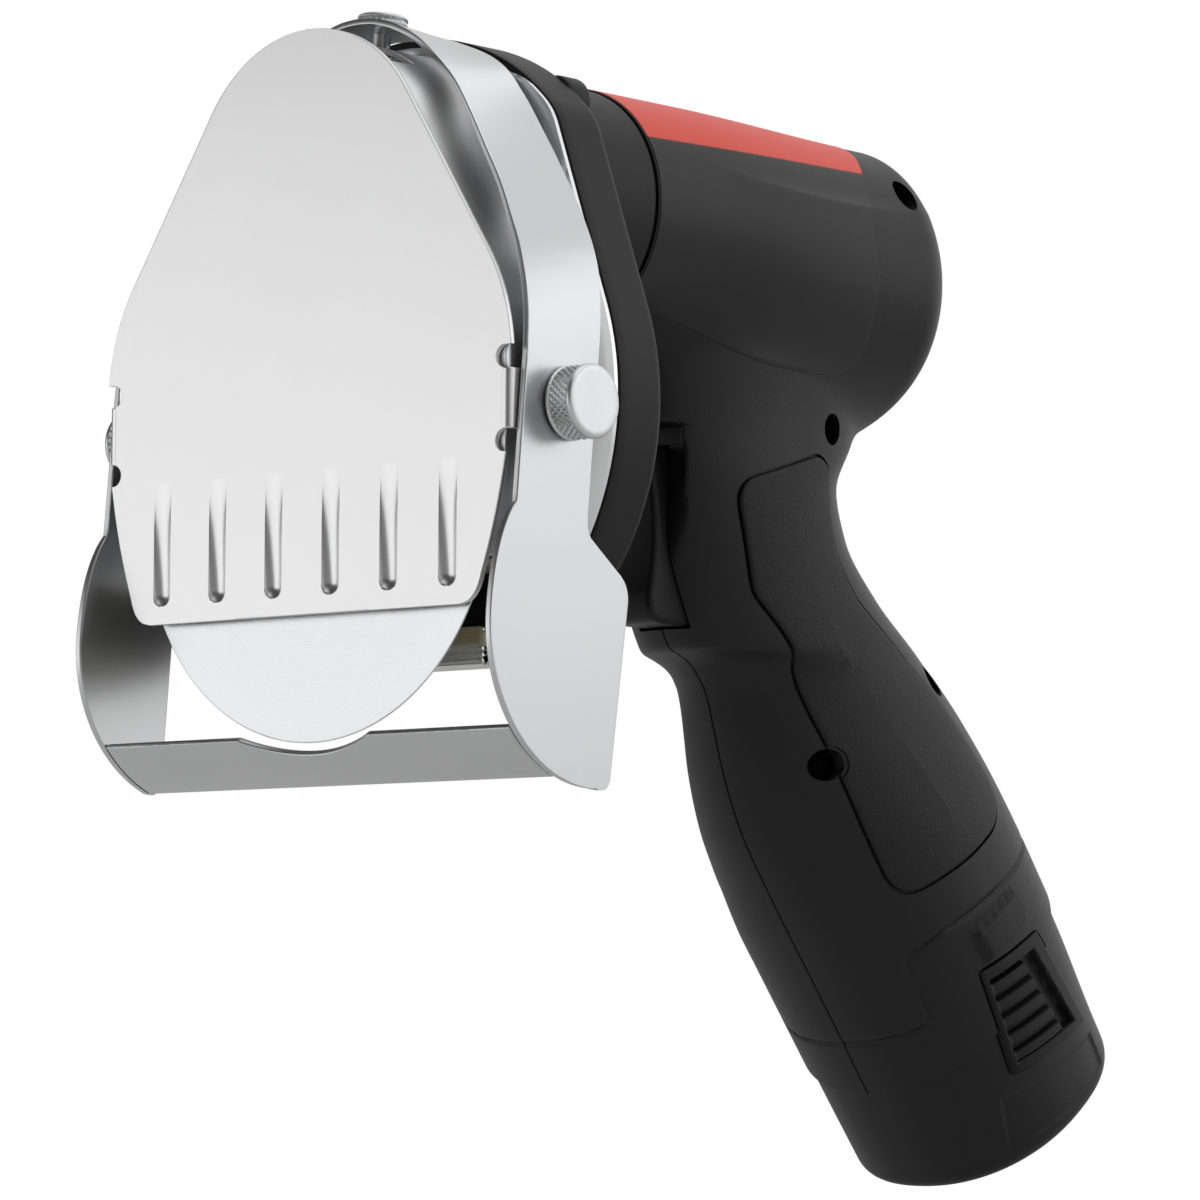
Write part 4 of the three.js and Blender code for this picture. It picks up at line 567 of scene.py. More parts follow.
def plate_edge(inset):
    """Right half of the glide plate's outline, drawn in by inset, from its foot to its top: a rounded
    corner, a slow flank arc, a shoulder arc, a straight flank and the top arc."""
    top, side, flank = 33.4 - inset, 43 - inset, 126 - inset
    foot = PLATE_FOOT + inset
    away = math.hypot(15, 25.5 - 66)
    turn = math.degrees(math.atan2(25.5 - 66, 15) + math.acos((top - side) / away))
    low = math.degrees(math.asin((25.5 - foot - 6) / flank))
    wide = 58 - 126 + flank * math.cos(math.radians(low))
    return np.concatenate([
        bend((wide - 6, foot), (wide - 1.5, foot), (wide, foot + 6)), arc(58 - 126, 25.5, flank, -low, 0, 80),
        arc(15, 25.5, side, 0, turn, 60), arc(0, 66, top, turn, 90, 80),
    ])


def glide_plate():
    """Rows of height Z, each as wide as the outline there; the front is pushed back by six grooves, each a
    round-ended channel that is deepest at its foot and fades upwards. Side tabs are strips bent back round a
    small radius."""
    edge = plate_edge(0)
    tab_low, tab_high = PIVOT_Z - TAB_HALF, PIVOT_Z + TAB_HALF
    notches = (tab_low - NOTCH_R, tab_high + NOTCH_R)
    around = NOTCH_R * np.sin(np.linspace(-np.pi / 2, np.pi / 2, 17))
    fine = np.concatenate([centre + around * 0.999 for centre in notches])
    gates = np.array([notches[0] - NOTCH_R, tab_low, tab_high, notches[1] + NOTCH_R])
    upper = even(edge, 400)[:, 1]
    z = np.unique(np.concatenate([
        np.linspace(PLATE_FOOT, 9, 66), np.linspace(-20.2, -16.4, 26), fine, gates - 0.01, gates + 0.01,
        upper[upper > 8][::2], [PLATE_TOP],
    ]).round(4))
    near = (np.abs(z[:, None] - fine).min(1) < 1e-3) | (np.abs(z[:, None] - gates).min(1) < 0.0101)
    far = np.abs(z[:, None] - np.concatenate([fine, gates])).min(1) > 0.12
    z = z[near | far]
    half = np.interp(z, edge[:, 1], edge[:, 0])
    for centre in notches:
        reach = np.sqrt(np.maximum(NOTCH_R ** 2 - (z - centre) ** 2, 0))
        inside = np.abs(z - centre) < NOTCH_R
        half = np.where(inside, np.minimum(half, TAB_X - 1.4 - reach), half)
    half = np.where((z > tab_low) & (z < tab_high), 56.0, half)
    half = np.maximum(half, 0.4)
    rim = np.linspace(0.9, 1.2, 7)
    near = np.concatenate([-rim[::-1], np.linspace(-0.8, 0.8, 11), rim]) * GROOVE_R
    lines = (np.arange(-2.5, 3) * GROOVE_PITCH)[:, None] + near
    between = (np.arange(-2, 2.5) * GROOVE_PITCH)[:, None] + np.linspace(-4.6, 4.6, 5)
    inner = np.sort(np.concatenate([lines.ravel(), between.ravel(), [-46, 46]]))
    wide = np.maximum(half, 50)[:, None]
    outer = 46 + (wide - 46) * np.array([0.2, 0.4, 0.6, 0.8, 0.92, 0.98, 1])
    x = np.concatenate([-outer[:, ::-1], np.broadcast_to(inner, (len(z), len(inner))), outer], 1)
    x = x * (half[:, None] / wide)
    zz = np.broadcast_to(z[:, None], x.shape)
    depth = GROOVE_DEEP * np.clip((GROOVE_HIGH - zz) / (GROOVE_HIGH - GROOVE_LOW), 0, 1)
    groove = np.zeros_like(x)
    for i in range(GROOVES):
        away = np.hypot(x - (i - 2.5) * GROOVE_PITCH, np.minimum(zz - GROOVE_LOW, 0)) / GROOVE_R
        groove += depth * np.clip(1 - away ** 2, 0, 1) ** 0.85
    face = np.stack([x, groove, zz], -1)
    surfaces = [sheet(face, np.broadcast_to(np.array([0.0, -1, 0]), face.shape), SHEET_T, 0.2)]
    back = np.stack([np.full(24, TAB_X), np.linspace(2, 24, 24)], -1)
    path = np.concatenate([[[55.4, -0.03]], arc(TAB_X - 1.5, 1.47, 1.5, -90, 0, 13), back])
    rise = np.concatenate([[tab_low, tab_low + 0.4], np.linspace(tab_low + 1, tab_high - 1, 9),
                           [tab_high - 0.4, tab_high]])
    for side, _ in SIDES:
        strip = np.stack(np.broadcast_arrays(side * path[:, :1], path[:, 1:], rise[None]), -1)
        n = facing(grid_normals(strip), np.array([side, -0.2, 0]))
        surfaces.append(sheet(strip, n, SHEET_T, 0.2))
    finish_piece(build("glide_plate_sheet", surfaces), PLATE_STEEL, "housing", "sheet_steel",
                 "glide_plate", sharp=30)


def blade():
    """A flat disc, ground to its edge from behind: a profile turned about the blade's axis."""
    front, back = BLADE_FRONT, BLADE_BACK
    profile = [[4.3, front], [9, front], [22, front], [40, front], [49.3, front], [49.8, 3.64], [49.97, 3.74],
               [BLADE_R, 3.86], [49.92, 3.98], [47.2, 4.72], [46.9, back], [40, back], [22, back],
               [4.3, back]]
    a = np.linspace(0, 2 * np.pi, 240, endpoint=False)
    r, y = np.array(profile).T[..., None]
    rings = np.stack([r * np.cos(a), y + 0 * a, r * np.sin(a)], -1)
    finish_piece(build("round_blade", [skin(rings, loop=True)]), BLADE_STEEL, "blade_drive", "blade_steel",
                 "blade", sharp=12)


def case_edge(inset):
    """The gear case's outline, drawn in by inset: crown, corners, flanks, round foot and a flat below."""
    turn = 43.8
    cx, cz = 40 * math.cos(math.radians(turn)), 46.6 + 40 * math.sin(math.radians(turn))
    away = math.hypot(cx, cz - 21)
    flank = math.degrees(math.atan2(cz - 21, cx) - math.acos(45 / away))
    chord = math.degrees(math.asin((21 + 30.5 - inset) / (60 - inset)))
    return even(np.concatenate([
        arc(cx, cz, 15 - inset, flank, turn), arc(0, 46.6, 55 - inset, turn, 180 - turn, 90),
        arc(-cx, cz, 15 - inset, 180 - turn, 180 - flank),
        arc(0, 21, 60 - inset, 180 - flank, 180 + chord, 90),
        arc(0, 21, 60 - inset, 360 - chord, 360 + flank, 90),
    ]), 420, closed=True)


def hood():
    """The plate's outline, drawn in, carried back as a wall whose front edge steps back at the crown and at
    the top knob's slot, with a lip behind the plate's notches; behind it a flat sheet from the shaft's hole
    out to the gear case's outline, with its rim turned forward, lower at the crown where the guide swings."""
    half = plate_edge(1.8)
    half = even(half[half[:, 1] >= -14], 230)
    path = np.concatenate([half, (half * [-1, 1])[-2::-1]])
    top = path[path[:, 1] > 70]
    top = top[np.argsort(top[:, 0])]
    marks = np.array([-19.4, -18.2, -2.9, -2.3, 2.3, 2.9, 18.2, 19.4])
    run = np.concatenate([path, np.stack([marks, np.interp(marks, top[:, 0], top[:, 1])], -1)])
    order = np.where(run[:, 1] > 70, run[:, 0], np.sign(run[:, 0]) * (200 - run[:, 1]))
    run = run[np.argsort(-order)]
    crown = ease((19.4 - np.abs(run[:, 0])) / 1.2) * (run[:, 1] > 70)
    slot = ease((2.9 - np.abs(run[:, 0])) / 0.6) * (run[:, 1] > 70)
    front = (1.5 + 11.5 * crown + 15.4 * slot)[:, None]
    y = front + (31 - front) * close_ends(0.015, 0.04, 22)
    wall = np.stack(np.broadcast_arrays(run[:, :1], y, run[:, 1:]), -1)
    t = unit(np.gradient(run, axis=0))
    out = facing(np.stack([t[:, 1], np.zeros(len(t)), -t[:, 0]], -1), upright(run - [0, 30], 0))
    surfaces = [sheet(wall, np.broadcast_to(out[:, None], wall.shape), SHEET_T, 0.2)]
    low, high = PIVOT_Z - 14, PIVOT_Z + 14
    lip = softened([[50, low], [55.2, low], [55.2, high], [50, high]], 120, 4)
    for side, _ in SIDES:
        surfaces.append(slab(lip, 1.45, 2.25, 0.15, lambda u, v, d: np.stack([side * u, d, v], -1)))
    full = case_edge(0.3)
    normal = outline_normals(full)
    crown = 1.9 * ease((full[:, 1:] - 88) / 8)
    depth = 1 - 0.85 * ease((full[:, 1] - 62) / 11)
    hole = 11 * unit(full)
    rows = [(0, 0.2, PAN_BACK), (0, 4, PAN_FRONT), (0.5, 4, PAN_FRONT), (0.97, 4, PAN_FRONT), (1, 3.5, 29.6),
            (1, 3.3, 27.3), (1, 3.1, 27.1), (1, 2.5, 27.1), (1, 2.3, 27.3)]
    rows += [(1, 2.2 * (PAN_FRONT - y) / 2.9, y) for y in (28.2, 29.1, PAN_FRONT)]
    rows += [(1, 0, 31.0), (1, 0.2, PAN_BACK), (0.97, 0.2, PAN_BACK), (0.5, 0.2, PAN_BACK)]
    rings = []
    for share, inset, y in rows:
        rim = full - np.maximum(inset, crown) * normal
        rim = np.stack([rim[:, 0], np.maximum(rim[:, 1], inset - 14)], -1)
        y = PAN_FRONT - (PAN_FRONT - y) * (depth if y < PAN_FRONT else 1)
        rings.append(upright(hole + (rim - hole) * share, y))
    surfaces.append(skin(np.stack(rings), loop=True))
    finish_piece(build("hood_pan", surfaces), HOOD_STEEL_PAINTED_LIGHT, "housing", "sheet_steel", "blade_hood", sharp=32)


STRAP_FRONT = [[59.5, 7.9], [59.3, 12], [58.8, 17.5], [57.6, 23.2], [55.3, 30.2], [51.7, 37.4], [47, 45.6],
               [41.6, 53.4], [35.4, 62], [29.7, 69.3], [24.3, 74.7], [19.1, 79.1], [14.7, 81.9], [8.7, 84.5],
               [3.5, 85.7], [0, 85.9], [-3.5, 85.7], [-8.7, 84.5]]
STRAP_REAR = [[59.5, 7.9], [59.5, 13], [59.3, 19], [58.7, 25], [57.2, 32.4], [53.6, 41.6], [50.4, 47.6],
              [47, 53.6], [43.2, 59.8], [37.6, 68.4], [32.8, 74], [27.4, 77.7], [20, 80.8], [14, 82.8],
              [8, 84.2], [3.5, 84.8], [0, 84.9], [-3.5, 84.8], [-8, 84.2]]


def strap_rim(stations):
    """One rim of the strap's arch, from the leg to the crown: both coordinates as smooth lines over the
    distance along the stations."""
    q = np.array(stations, float)
    run = np.concatenate([[0], np.cumsum(np.linalg.norm(np.diff(q, axis=0), axis=1))])
    t = np.linspace(0, run[q[:, 0] == 0][0], 400)
    return even(np.stack([smooth_line(np.stack([run, q[:, k]], -1))(t) for k in (0, 1)], -1), 131)


def strap():
    """The guide's strap: straight lines carried along its front rim and its rear rim, which is squarer at the
    shoulders; the rims' places behind the pivot depend on the height, and the two paddles differ behind."""
    top, foot, shoulder = 86.4, PADDLE_Z - PADDLE_R, 7.9
    front = np.concatenate([
        [[-8.2, top], [-8.5, 70], [-9.4, 62], [-10.6, 53], [-11.4, 45], [-12.3, 37], [-12.9, 28], [-13, 20]],
        bend((-13, -22.4), (-18.5, -29.87), (-18.5, PADDLE_Z)),
        arc(PADDLE_Y, PADDLE_Z, PADDLE_R, 180, 270, 60),
    ])
    upper = [[4.4, top], [4.3, 70], [8.9, 30]]
    rear_right = np.concatenate([
        upper, [[9, 20]], bend((9, -21.5), (9, -25.5), (11, -26.5)),
        bend((19.2, -31.5), (23.2, -33.5), (23.2, -37.5)), bend((21.4, foot + 3), (21.2, foot), (18.2, foot)),
    ])
    low = arc(PADDLE_Y, PADDLE_Z, PADDLE_R, 256, 256, 1)[0]
    rear_left = np.concatenate([upper, [[9, foot + 9]], bend((9, foot + 9), (9, foot), low)])
    share = close_ends(0.02, 0.05, 19)[:, None]
    halves = []
    for side, deep, rear in ((-1, low[1], rear_left), (1, foot, rear_right)):
        fall = np.arcsin(min((PADDLE_Z - deep) / PADDLE_R, 1))
        leg = PADDLE_Z - PADDLE_R * np.sin(np.linspace(fall, 0, 60))
        leg = np.concatenate([leg, np.linspace(leg[-1], shoulder, 60)[1:-1]])
        leg = np.stack([np.full(len(leg), LEG_X), leg], -1)
        fore, aft = (np.concatenate([leg, strap_rim(q)]) for q in (STRAP_FRONT, STRAP_REAR))
        y0 = np.interp(fore[:, 1], front[::-1, 1], front[::-1, 0])
        y1 = np.maximum(np.interp(aft[:, 1], rear[::-1, 1], rear[::-1, 0]), y0 + 0.6)
        ends = [upright(q * [side, 1], y)[:, None] for q, y in ((fore, y0), (aft, y1))]
        halves.append(ends[0] + (ends[1] - ends[0]) * share)
    p = np.concatenate([halves[0], halves[1][-2::-1]])
    n = facing(grid_normals(p), (p - [0, 0, 20.0]) * [1, 0, 1])
    points, faces = sheet(p, n, STRAP_T, 0.3)
    finish_piece(build("strap_sheet", [(tilted(points), faces)]), STRAP_STEEL_PAINTED_SHADE, "guide", "sheet_steel",
                 "guide_strap", sharp=30)


def bar():
    """The rolled bar between the paddles: an arc in section, carried across; its upper edge gives way to a
    circle round the blade."""
    def rolled(x, a):
        y, z = PADDLE_Y + PADDLE_R * np.cos(a), PADDLE_Z + PADDLE_R * np.sin(a)
        return np.stack(np.broadcast_arrays(x, y, z), -1)

    x = np.concatenate([[-57.7, -57.4], np.linspace(-57, 57, 191), [57.4, 57.7]])
    a = np.radians(np.linspace(226, 256, 200))
    room = np.sqrt(np.maximum((BLADE_R + 2.5) ** 2 - x ** 2, 0))
    start = np.maximum(np.interp(room, -tilted(rolled(0.0, a))[:, 2], a), a[0])[:, None]
    turn = start + (a[-1] - start) * close_ends(0.03, 0.08, 14)
    n = np.stack([0 * turn, np.cos(turn), np.sin(turn)], -1)
    points, faces = sheet(rolled(x[:, None], turn), n, STRAP_T, 0.35)
    finish_piece(build("rolled_bar", [(tilted(points), faces)]), STRAP_STEEL_PAINTED_SHADE, "guide", "sheet_steel",
                 "guide_bar", sharp=30)


def knurled(radius, long, count, shank, place):
    """A thumb screw about its axis: plain rims, a flat face, and between the rims two crossing families of
    V grooves that leave rows of diamond points."""
    a = np.linspace(0, 2 * np.pi, count * 10, endpoint=False)
    rim = min(1.0, long / 4.2)
    band = np.linspace(0.9 * rim, long - 1.1 * rim, max(int((long - 2) * 9), 12))
    pitch = 2 * np.pi * radius / count
    t = count * a / (2 * np.pi)
    lean = band[:, None] / pitch * 0.8
    cuts = [1 - 2 * np.abs(np.mod(t + sign * lean, 1) - 0.5) for sign in (-1, 1)]
    fade = ease((band - band[0]) / 0.4) * ease((band[-1] - band) / 0.4)
    ridge = radius - 0.55 * fade[:, None] * np.maximum(*cuts)
    shape = [[shank[0], shank[1]], [shank[0], 0.0], [radius - 1.0, 0.0], [radius - 0.55, 0.12 * rim],
             [radius - 0.1, 0.55 * rim], [radius, 0.8 * rim]]
    tail = [[radius, long - rim], [radius - 0.05, long - 0.55 * rim], [radius - 0.3, long - 0.16 * rim],
            [radius - 0.75, long], [radius - 1.6, long], [radius * 0.4, long]]
    plain = lambda rows: (np.broadcast_to(np.array(rows)[:, :1], (len(rows), len(a))),
                          np.broadcast_to(np.array(rows)[:, 1:], (len(rows), len(a))))
    first, last = plain(shape), plain(tail)
    r = np.concatenate([first[0], ridge, last[0]])
    d = np.concatenate([first[1], np.broadcast_to(band[:, None], ridge.shape), last[1]])
    return skin(place(r * np.cos(a), r * np.sin(a), d))


def knobs():
    """Two side screws on the pivot, their shanks as long as their nodes', and the top screw on the strap."""
    for side, name in SIDES:
        def beside(u, v, d):
            return np.stack([side * (KNOB_X + d), PIVOT_Y + u, PIVOT_Z + v], -1)
        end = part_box(f"side_knob_{name}")
        inner = min(abs(end[0].x), abs(end[1].x)) / MM - KNOB_X
        piece = build(f"side_thumbscrew_{name}", [knurled(7.7, 7.4, 36, (2.0, inner), beside)])
        finish_piece(piece, KNOB_STEEL, f"{name}_thumbscrew", "knob_steel", f"side_knob_{name}", sharp=50)

    def crown(u, v, d):
        return tilted(np.stack([u, -0.4 + v, 85.7 + d], -1))
    piece = build("top_thumbscrew_head", [knurled(5.4, 2.3, 26, (2.0, -12.0), crown)])
    finish_piece(piece, KNOB_STEEL, "top_thumbscrew", "knob_steel", "top_knob", sharp=50)


def lamp():
    """A clear bar: a rounded section whose lower half carries fine ribs, carried across the head."""
    section = softened([[20.6, -34], [31.1, -34], [31.1, -26], [20.6, -26]], 300, 10)
    ripple = np.cos(2 * np.pi * section[:, 1] / 1.25) * ease((-29.6 - section[:, 1]) / 0.8)
    front = ease((29 - section[:, 0]) / 4)
    section = section - (0.3 * ripple * front)[:, None] * outline_normals(section)
    rings = slab(section, -31.9, 31.9, 0.9, along_x(0, 0))
    return finish_piece(build("lamp_bar", [rings]), LENS, "housing", "lens", "lamp_lens", sharp=50)


# Body: gear case, clamshell, inlays, trigger

def gear_case():
    """One skin that runs from the open front over the rim, a rounded rear edge and the rear face to the
    round neck, and back inside; between the outline and the neck it is a straight blend about the neck."""
    centre = np.array([0, MOTOR_Z])
    rim = case_edge(0)
    normal = outline_normals(rim)
    radial = unit(rim - centre)
    edge = [(2.4, 42.5), (2.4, 32), (2, 31.5), (0.5, 31.5), (0.12, 31.65), (0, 32), (0, 34.5), (0, 38.5),
            (0, 42.6)]
    edge += [(2.2 * (1 - math.cos(a)), 43.3 + 2.2 * math.sin(a)) for a in np.linspace(0, np.pi / 2, 8)]
    neck = [(NECK_R + 1.4 * (1 - math.sin(a)), 45.5 + 1.4 * (1 - math.cos(a)))
            for a in np.linspace(0, np.pi / 2, 6)]
    neck += [(NECK_R, y) for y in (47.5, 52, 60, 70, 80, 81.2)]
    neck += [(26.5, 81.6), (26.2, 81.7), (24.1, 81.7), (23.9, 82), (23.9, 90.7), (20.9, 90.7), (20.9, 43.5),
             (21.2, 42.5)]
    start, end = rim - 2.2 * normal, centre + (NECK_R + 1.4) * radial
    rings = [upright(rim - inset * normal, y) for inset, y in edge]
    rings += [upright(start + (end - start) * share, 45.5) for share in (0.03, 0.15, 0.35, 0.6, 0.85, 0.97)]
    rings += [upright(centre + r * radial, y) for r, y in neck]
    surfaces = [skin(np.stack(rings), loop=True)]
    surfaces += [slab(circle(5.5, 72), 43.5, 50, 0.9, along_y(x, 87)) for x in (-30, 30)]
    finish_piece(build("gear_housing", surfaces), CASE_PLASTIC, "housing", "case_plastic", "gear_case")


FRONT = smooth_line([[-165, 226], [-121, 190], [-98, 171.4], [-77, 154.2], [-62, 143.2], [-50, 137.3],
                     [-40, 133.8], [-34, 131.8], [-31, 130.3], [-28.4, 128.1], [-25.6, 125], [-24.2, 122],
                     [-23, 118.6], [-21, 116.9], [-16, 114], [0, 107], [26, 100], [60, 92]])
BACK = smooth_line([[-165, 308.8], [-100, 256.8], [-84, 246.1], [-65, 232.7], [-49, 221.5], [-35, 210.7],
                    [-22, 198.7], [-9, 182.2], [4, 170.3], [15, 167], [27, 173.5], [40, 178], [60, 188]])
HALF = smooth_line([[-165, 30], [-110, 31.5], [-84, 32], [-65, 31.3], [-49, 29], [-35, 25.5], [-22, 22.2],
                    [0, 20.6], [27, 20.6], [60, 23]])
BROW = smooth_line([[-85, 2.25], [-64, 2.02], [-28, 1.92], [-22, 2.3], [60, 2.25]])


def grip_field(p):
    """About the distance outside the grip: level sections are rounded boxes between the front and back
    lines, more pointed in front at the waist, so the field is their rounded radius less one, times the
    smaller half-size."""
    x, y, z = p[..., 0], p[..., 1], p[..., 2]
    f, b, h = FRONT(z), BACK(z), HALF(z)
    d = (b - f) / 2
    off = y - (f + b) / 2
    power = np.where(off < 0, BROW(z), 2.25)
    g = (np.abs(off) / d) ** power + (np.abs(x) / h) ** power
    return (g ** (1 / power) - 1) * np.minimum(h, d)


def barrel_field(p):
    """About the distance outside the barrel: round in front, then slowly taller and lower, with a domed
    end; the field is an ellipse's radius less one, times the barrel's radius."""
    x, y, z = p[..., 0], p[..., 1], p[..., 2]
    t = ease((y - 110) / (BARREL_END - 110))
    dome = np.maximum((y - BARREL_END) / 19, 0)
    r = (x / BARREL_R) ** 2 + ((z - MOTOR_Z + 6.65 * t) / (BARREL_R + 5.42 * t)) ** 2 + dome ** 2
    return BARREL_R * (np.sqrt(r) - 1)


def body_field(p):
    """The barrel and the grip run together with a smooth minimum."""
    a, b = barrel_field(p), np.maximum(grip_field(p), p[..., 2] - 75)
    h = np.clip(0.5 + 0.5 * (b - a) / 7.9, 0, 1)
    return b * (1 - h) + a * h - 7.9 * h * (1 - h)


COLLAR_LINE = np.array([[-60, 200.9], [-28, 200.4], [-26.4, 199], [-26.2, 184], [-24.4, 181.6], [-17, 181.2],
                        [19.4, 186.4], [60, 192]], float)


def line_distance(t, s, line):
    """Distance on the handle's side from points to a polyline: the least over its pieces."""
    p = np.stack([t, s], -1)[..., None, :]
    a, b = line[:-1], line[1:]
    along = np.clip(np.sum((p - a) * (b - a), -1) / np.sum((b - a) ** 2, -1), 0, 1)
    return np.linalg.norm(p - a - along[..., None] * (b - a), axis=-1).min(-1)


def shell_field(p):
    """The body with the strike pads raised, the collar line sunk, and the trigger's flared recess cut out."""
    s, t = grip_place(p)
    side = np.maximum(np.abs(t + 3.1) - 8.4, np.abs(s - 190.8) - 3.9)
    pad = 1.9 * ease(0.5 - side)
    line = 0.55 * np.exp(-(line_distance(t, s, COLLAR_LINE) / 0.5) ** 2)
    body = body_field(p) - pad + np.where((s > 172) & (p[..., 2] < -20), line, 0)
    x, y, z = np.abs(p[..., 0]), p[..., 1], p[..., 2]
    recess = np.maximum.reduce([x - 11.6 - 0.75 * (109 - y), y - 109, z - 25.5, -19.0 - z])
    h = np.clip(0.5 + 0.5 * (body + recess) / 1.4, 0, 1)
    return body * h - recess * (1 - h) + 1.4 * h * (1 - h)


def first_crossing(field, start, way, low, high, steps=72):
    """Along each ray, the first place where the field turns positive, found by even steps and halving."""
    r = np.linspace(low, high, steps)
    value = field(start[..., None, :] + r[:, None] * way[..., None, :])
    hit = np.argmax(value > 0, axis=-1)
    hit = np.where(np.any(value > 0, axis=-1), np.maximum(hit, 1), steps - 1)
    a, b = r[hit - 1], r[hit]
    for _ in range(24):
        middle = (a + b) / 2
        outside = field(start + middle[..., None] * way) > 0
        a, b = np.where(outside, a, middle), np.where(outside, middle, b)
    return (a + b) / 2


def sections(field, middle, slope, angles):
    """Rings where planes that hold the X direction cut a field. Each plane has a middle and a slope; rays
    leave the plane's own centre at the angles of an ellipse that fits the section."""
    e2 = np.stack([0 * slope, np.cos(slope), np.sin(slope)], -1)
    up = first_crossing(field, middle, e2, 2, 110, 220)
    down = first_crossing(field, middle, -e2, 2, 110, 220)
    centre = middle + ((up - down) / 2)[:, None] * e2
    tall = (up + down) / 2
    across = np.broadcast_to(np.array([1.0, 0, 0]), e2.shape)
    wide = first_crossing(field, centre, across, 2, 60, 120)
    ray = ((wide[:, None] * np.cos(angles))[..., None] * across[:, None]
           + (tall[:, None] * np.sin(angles))[..., None] * e2[:, None])
    start = np.broadcast_to(centre[:, None], ray.shape)
    return start + first_crossing(field, start, ray, 0.3, 1.6)[..., None] * ray


def shell_planes():
    """Planes that fan round a point before the trigger, from the barrel's front to its domed end, then
    travel down the grip and turn to the collar's plane: rows of middle and slope."""
    fan_rows = np.array([0, 40, 80, 112, 140, 160])
    turn = smooth_line(np.stack([fan_rows, [90, 60, 40, 25, 10, 3]], -1))
    far = smooth_line(np.stack([fan_rows, [39, 45, 57, 63, 60, 52]], -1))
    k = np.arange(161)
    slope = np.radians(turn(k))
    fan = np.stack([0 * slope, 88 + far(k) * np.cos(slope), 32 + far(k) * np.sin(slope)], -1)
    grip = np.array([[0, 140, 34.7, 3], [16, 137, 24, 5], [36, 137, 12, 9], [62, 142, -4, 20],
                     [88, 153, -20, 33], [112, 166, -36, 39], [136, 180, -55, 42], [200, 194, -75.5, 46],
                     [270, 211.8, -93.8, 52]], float)
    k = np.arange(1, 271)
    y, z, lean = (smooth_line(grip[:, [0, c]])(k) for c in (1, 2, 3))
    head = np.linspace(82.15, 87.3, 8)
    barrel = np.stack([0 * head, head, 0 * head + MOTOR_Z], -1)
    middle = np.concatenate([barrel, fan, np.stack([0 * y, y, z], -1)])
    return middle, np.concatenate([np.full(8, np.pi / 2), slope, np.radians(lean)])


WELLS = np.array([[175.6, 84], [152, 28], [149.2, -48], [190, -26.6]])


def side_x(field, y, z):
    """The X at which the body's right side lies at given Y and Z."""
    start = np.stack([np.zeros_like(y), y, z], -1)
    way = np.broadcast_to(np.array([1.0, 0, 0]), start.shape)
    return first_crossing(field, start, way, 0.5, 45, 120)


def latch_outline(grow):
    """The latch's outline on the handle's side: a leaning trapezium, grown all round, as [across, along]."""
    head, foot, lean = 10.6 + grow, 13.8 + grow, 0.22
    return np.array([[-3.6 - head, 198 - grow - lean * head], [-3.6 + head, 198 - grow + lean * head],
                     [-3.6 + foot, 226.2 + grow + lean * foot], [-3.6 - foot, 226.2 + grow - lean * foot]])


def beside_grip(side):
    """Places [across, along] numbers on the handle's side, depth as X to that side."""
    def place(u, v, d):
        return v[..., None] * WAY + (GRIP_T + u)[..., None] * ACROSS + d[..., None] * np.array([side, 0, 0])
    return place


INLAY = [[119.8, 9.3], [123.8, -3.7], [125.9, -10.9], [134.2, -18.6], [139.6, -25], [145.7, -37.4],
         [149.5, -44.7], [153.7, -53.5], [158.5, -62.3], [165.4, -72.6], [168.3, -75.5], [171.5, -76.1],
         [174.4, -74.6], [188.1, -66.6], [198, -60.1], [200.8, -56.8], [203.2, -52.1], [200.1, -46.8],
         [192.5, -37.2], [185.7, -29.8], [171.6, -18.5], [159.8, -10.2], [154.3, -2.2], [152, 5.2],
         [152.3, 15.8], [151.1, 19.5], [146.1, 21.6], [122.1, 14.3], [119.9, 11.5]]


def inlay_channel(side):
    """A narrow ring round the inlay's outline: its floor lies under the body's side, its top above it."""
    rim = softened(INLAY, 420, 14)
    normal = outline_normals(rim)
    rings = []
    for grow, rise in ((-0.1, -0.9), (-0.1, 2.5), (0.7, 2.5), (0.7, -0.9)):
        flat = rim + grow * normal
        x = side_x(body_field, flat[:, 0], flat[:, 1]) + rise
        rings.append(np.stack([side * x, flat[:, 0], flat[:, 1]], -1))
    return skin(np.stack(rings), loop=True)


def clamshell():
    """Two halves from the same sections, parted at the middle, with screw wells, the trigger's way, the
    latches' notches and a channel round each inlay cut into the wall."""
    middle, slope = shell_planes()
    angles = np.radians(np.linspace(-90, 90, 145))
    right = sections(shell_field, middle, slope, angles)
    right[..., 0] = np.maximum(right[..., 0], 0.15)
    round_well = circle(WELL_R, 48)
    way = softened([[100, -18.9], [127, -18.9], [127, 21.4], [100, 21.4]], 120, 3)
    for side, name in SIDES:
        p = right * np.array([side, 1, 1])
        n = grid_normals(p)
        n = n * np.where(np.sum(n[..., 0] * side) < 0, -1, 1)
        piece = build(f"shell_half_{name}", [sheet(p, n, SHELL_T, 0.25)])
        tools = [slab(way, -7.4, 7.4, 0.3, along_x(0, 0)),
                 slab(softened(latch_outline(0.55), 160, 6), 16, 60, 0.1, beside_grip(side))]
        cups = []
        for y, z in WELLS if side > 0 else ():
            tools.append(slab(round_well, 6, 60, 0.05, along_x(y, z)))
            around = arc(y, z, 4.6, 0, 360, 25)
            rim = side_x(body_field, around[:, 0], around[:, 1]).min() - 0.4
            cup = [[1.7, 6.5], [4.8, 6.5], [4.8, rim], [3.62, rim], [3.62, 8], [1.7, 8]]
            cups.append(turned(cup, 48, along_x(y, z)))
        carve(piece, [inlay_channel(side)])
        carve(piece, tools)
        if cups:
            join_in(piece, cups)
        finish_piece(piece, SHELL_PLASTIC, "housing", "shell_plastic", f"shell_{name}", sharp=40)


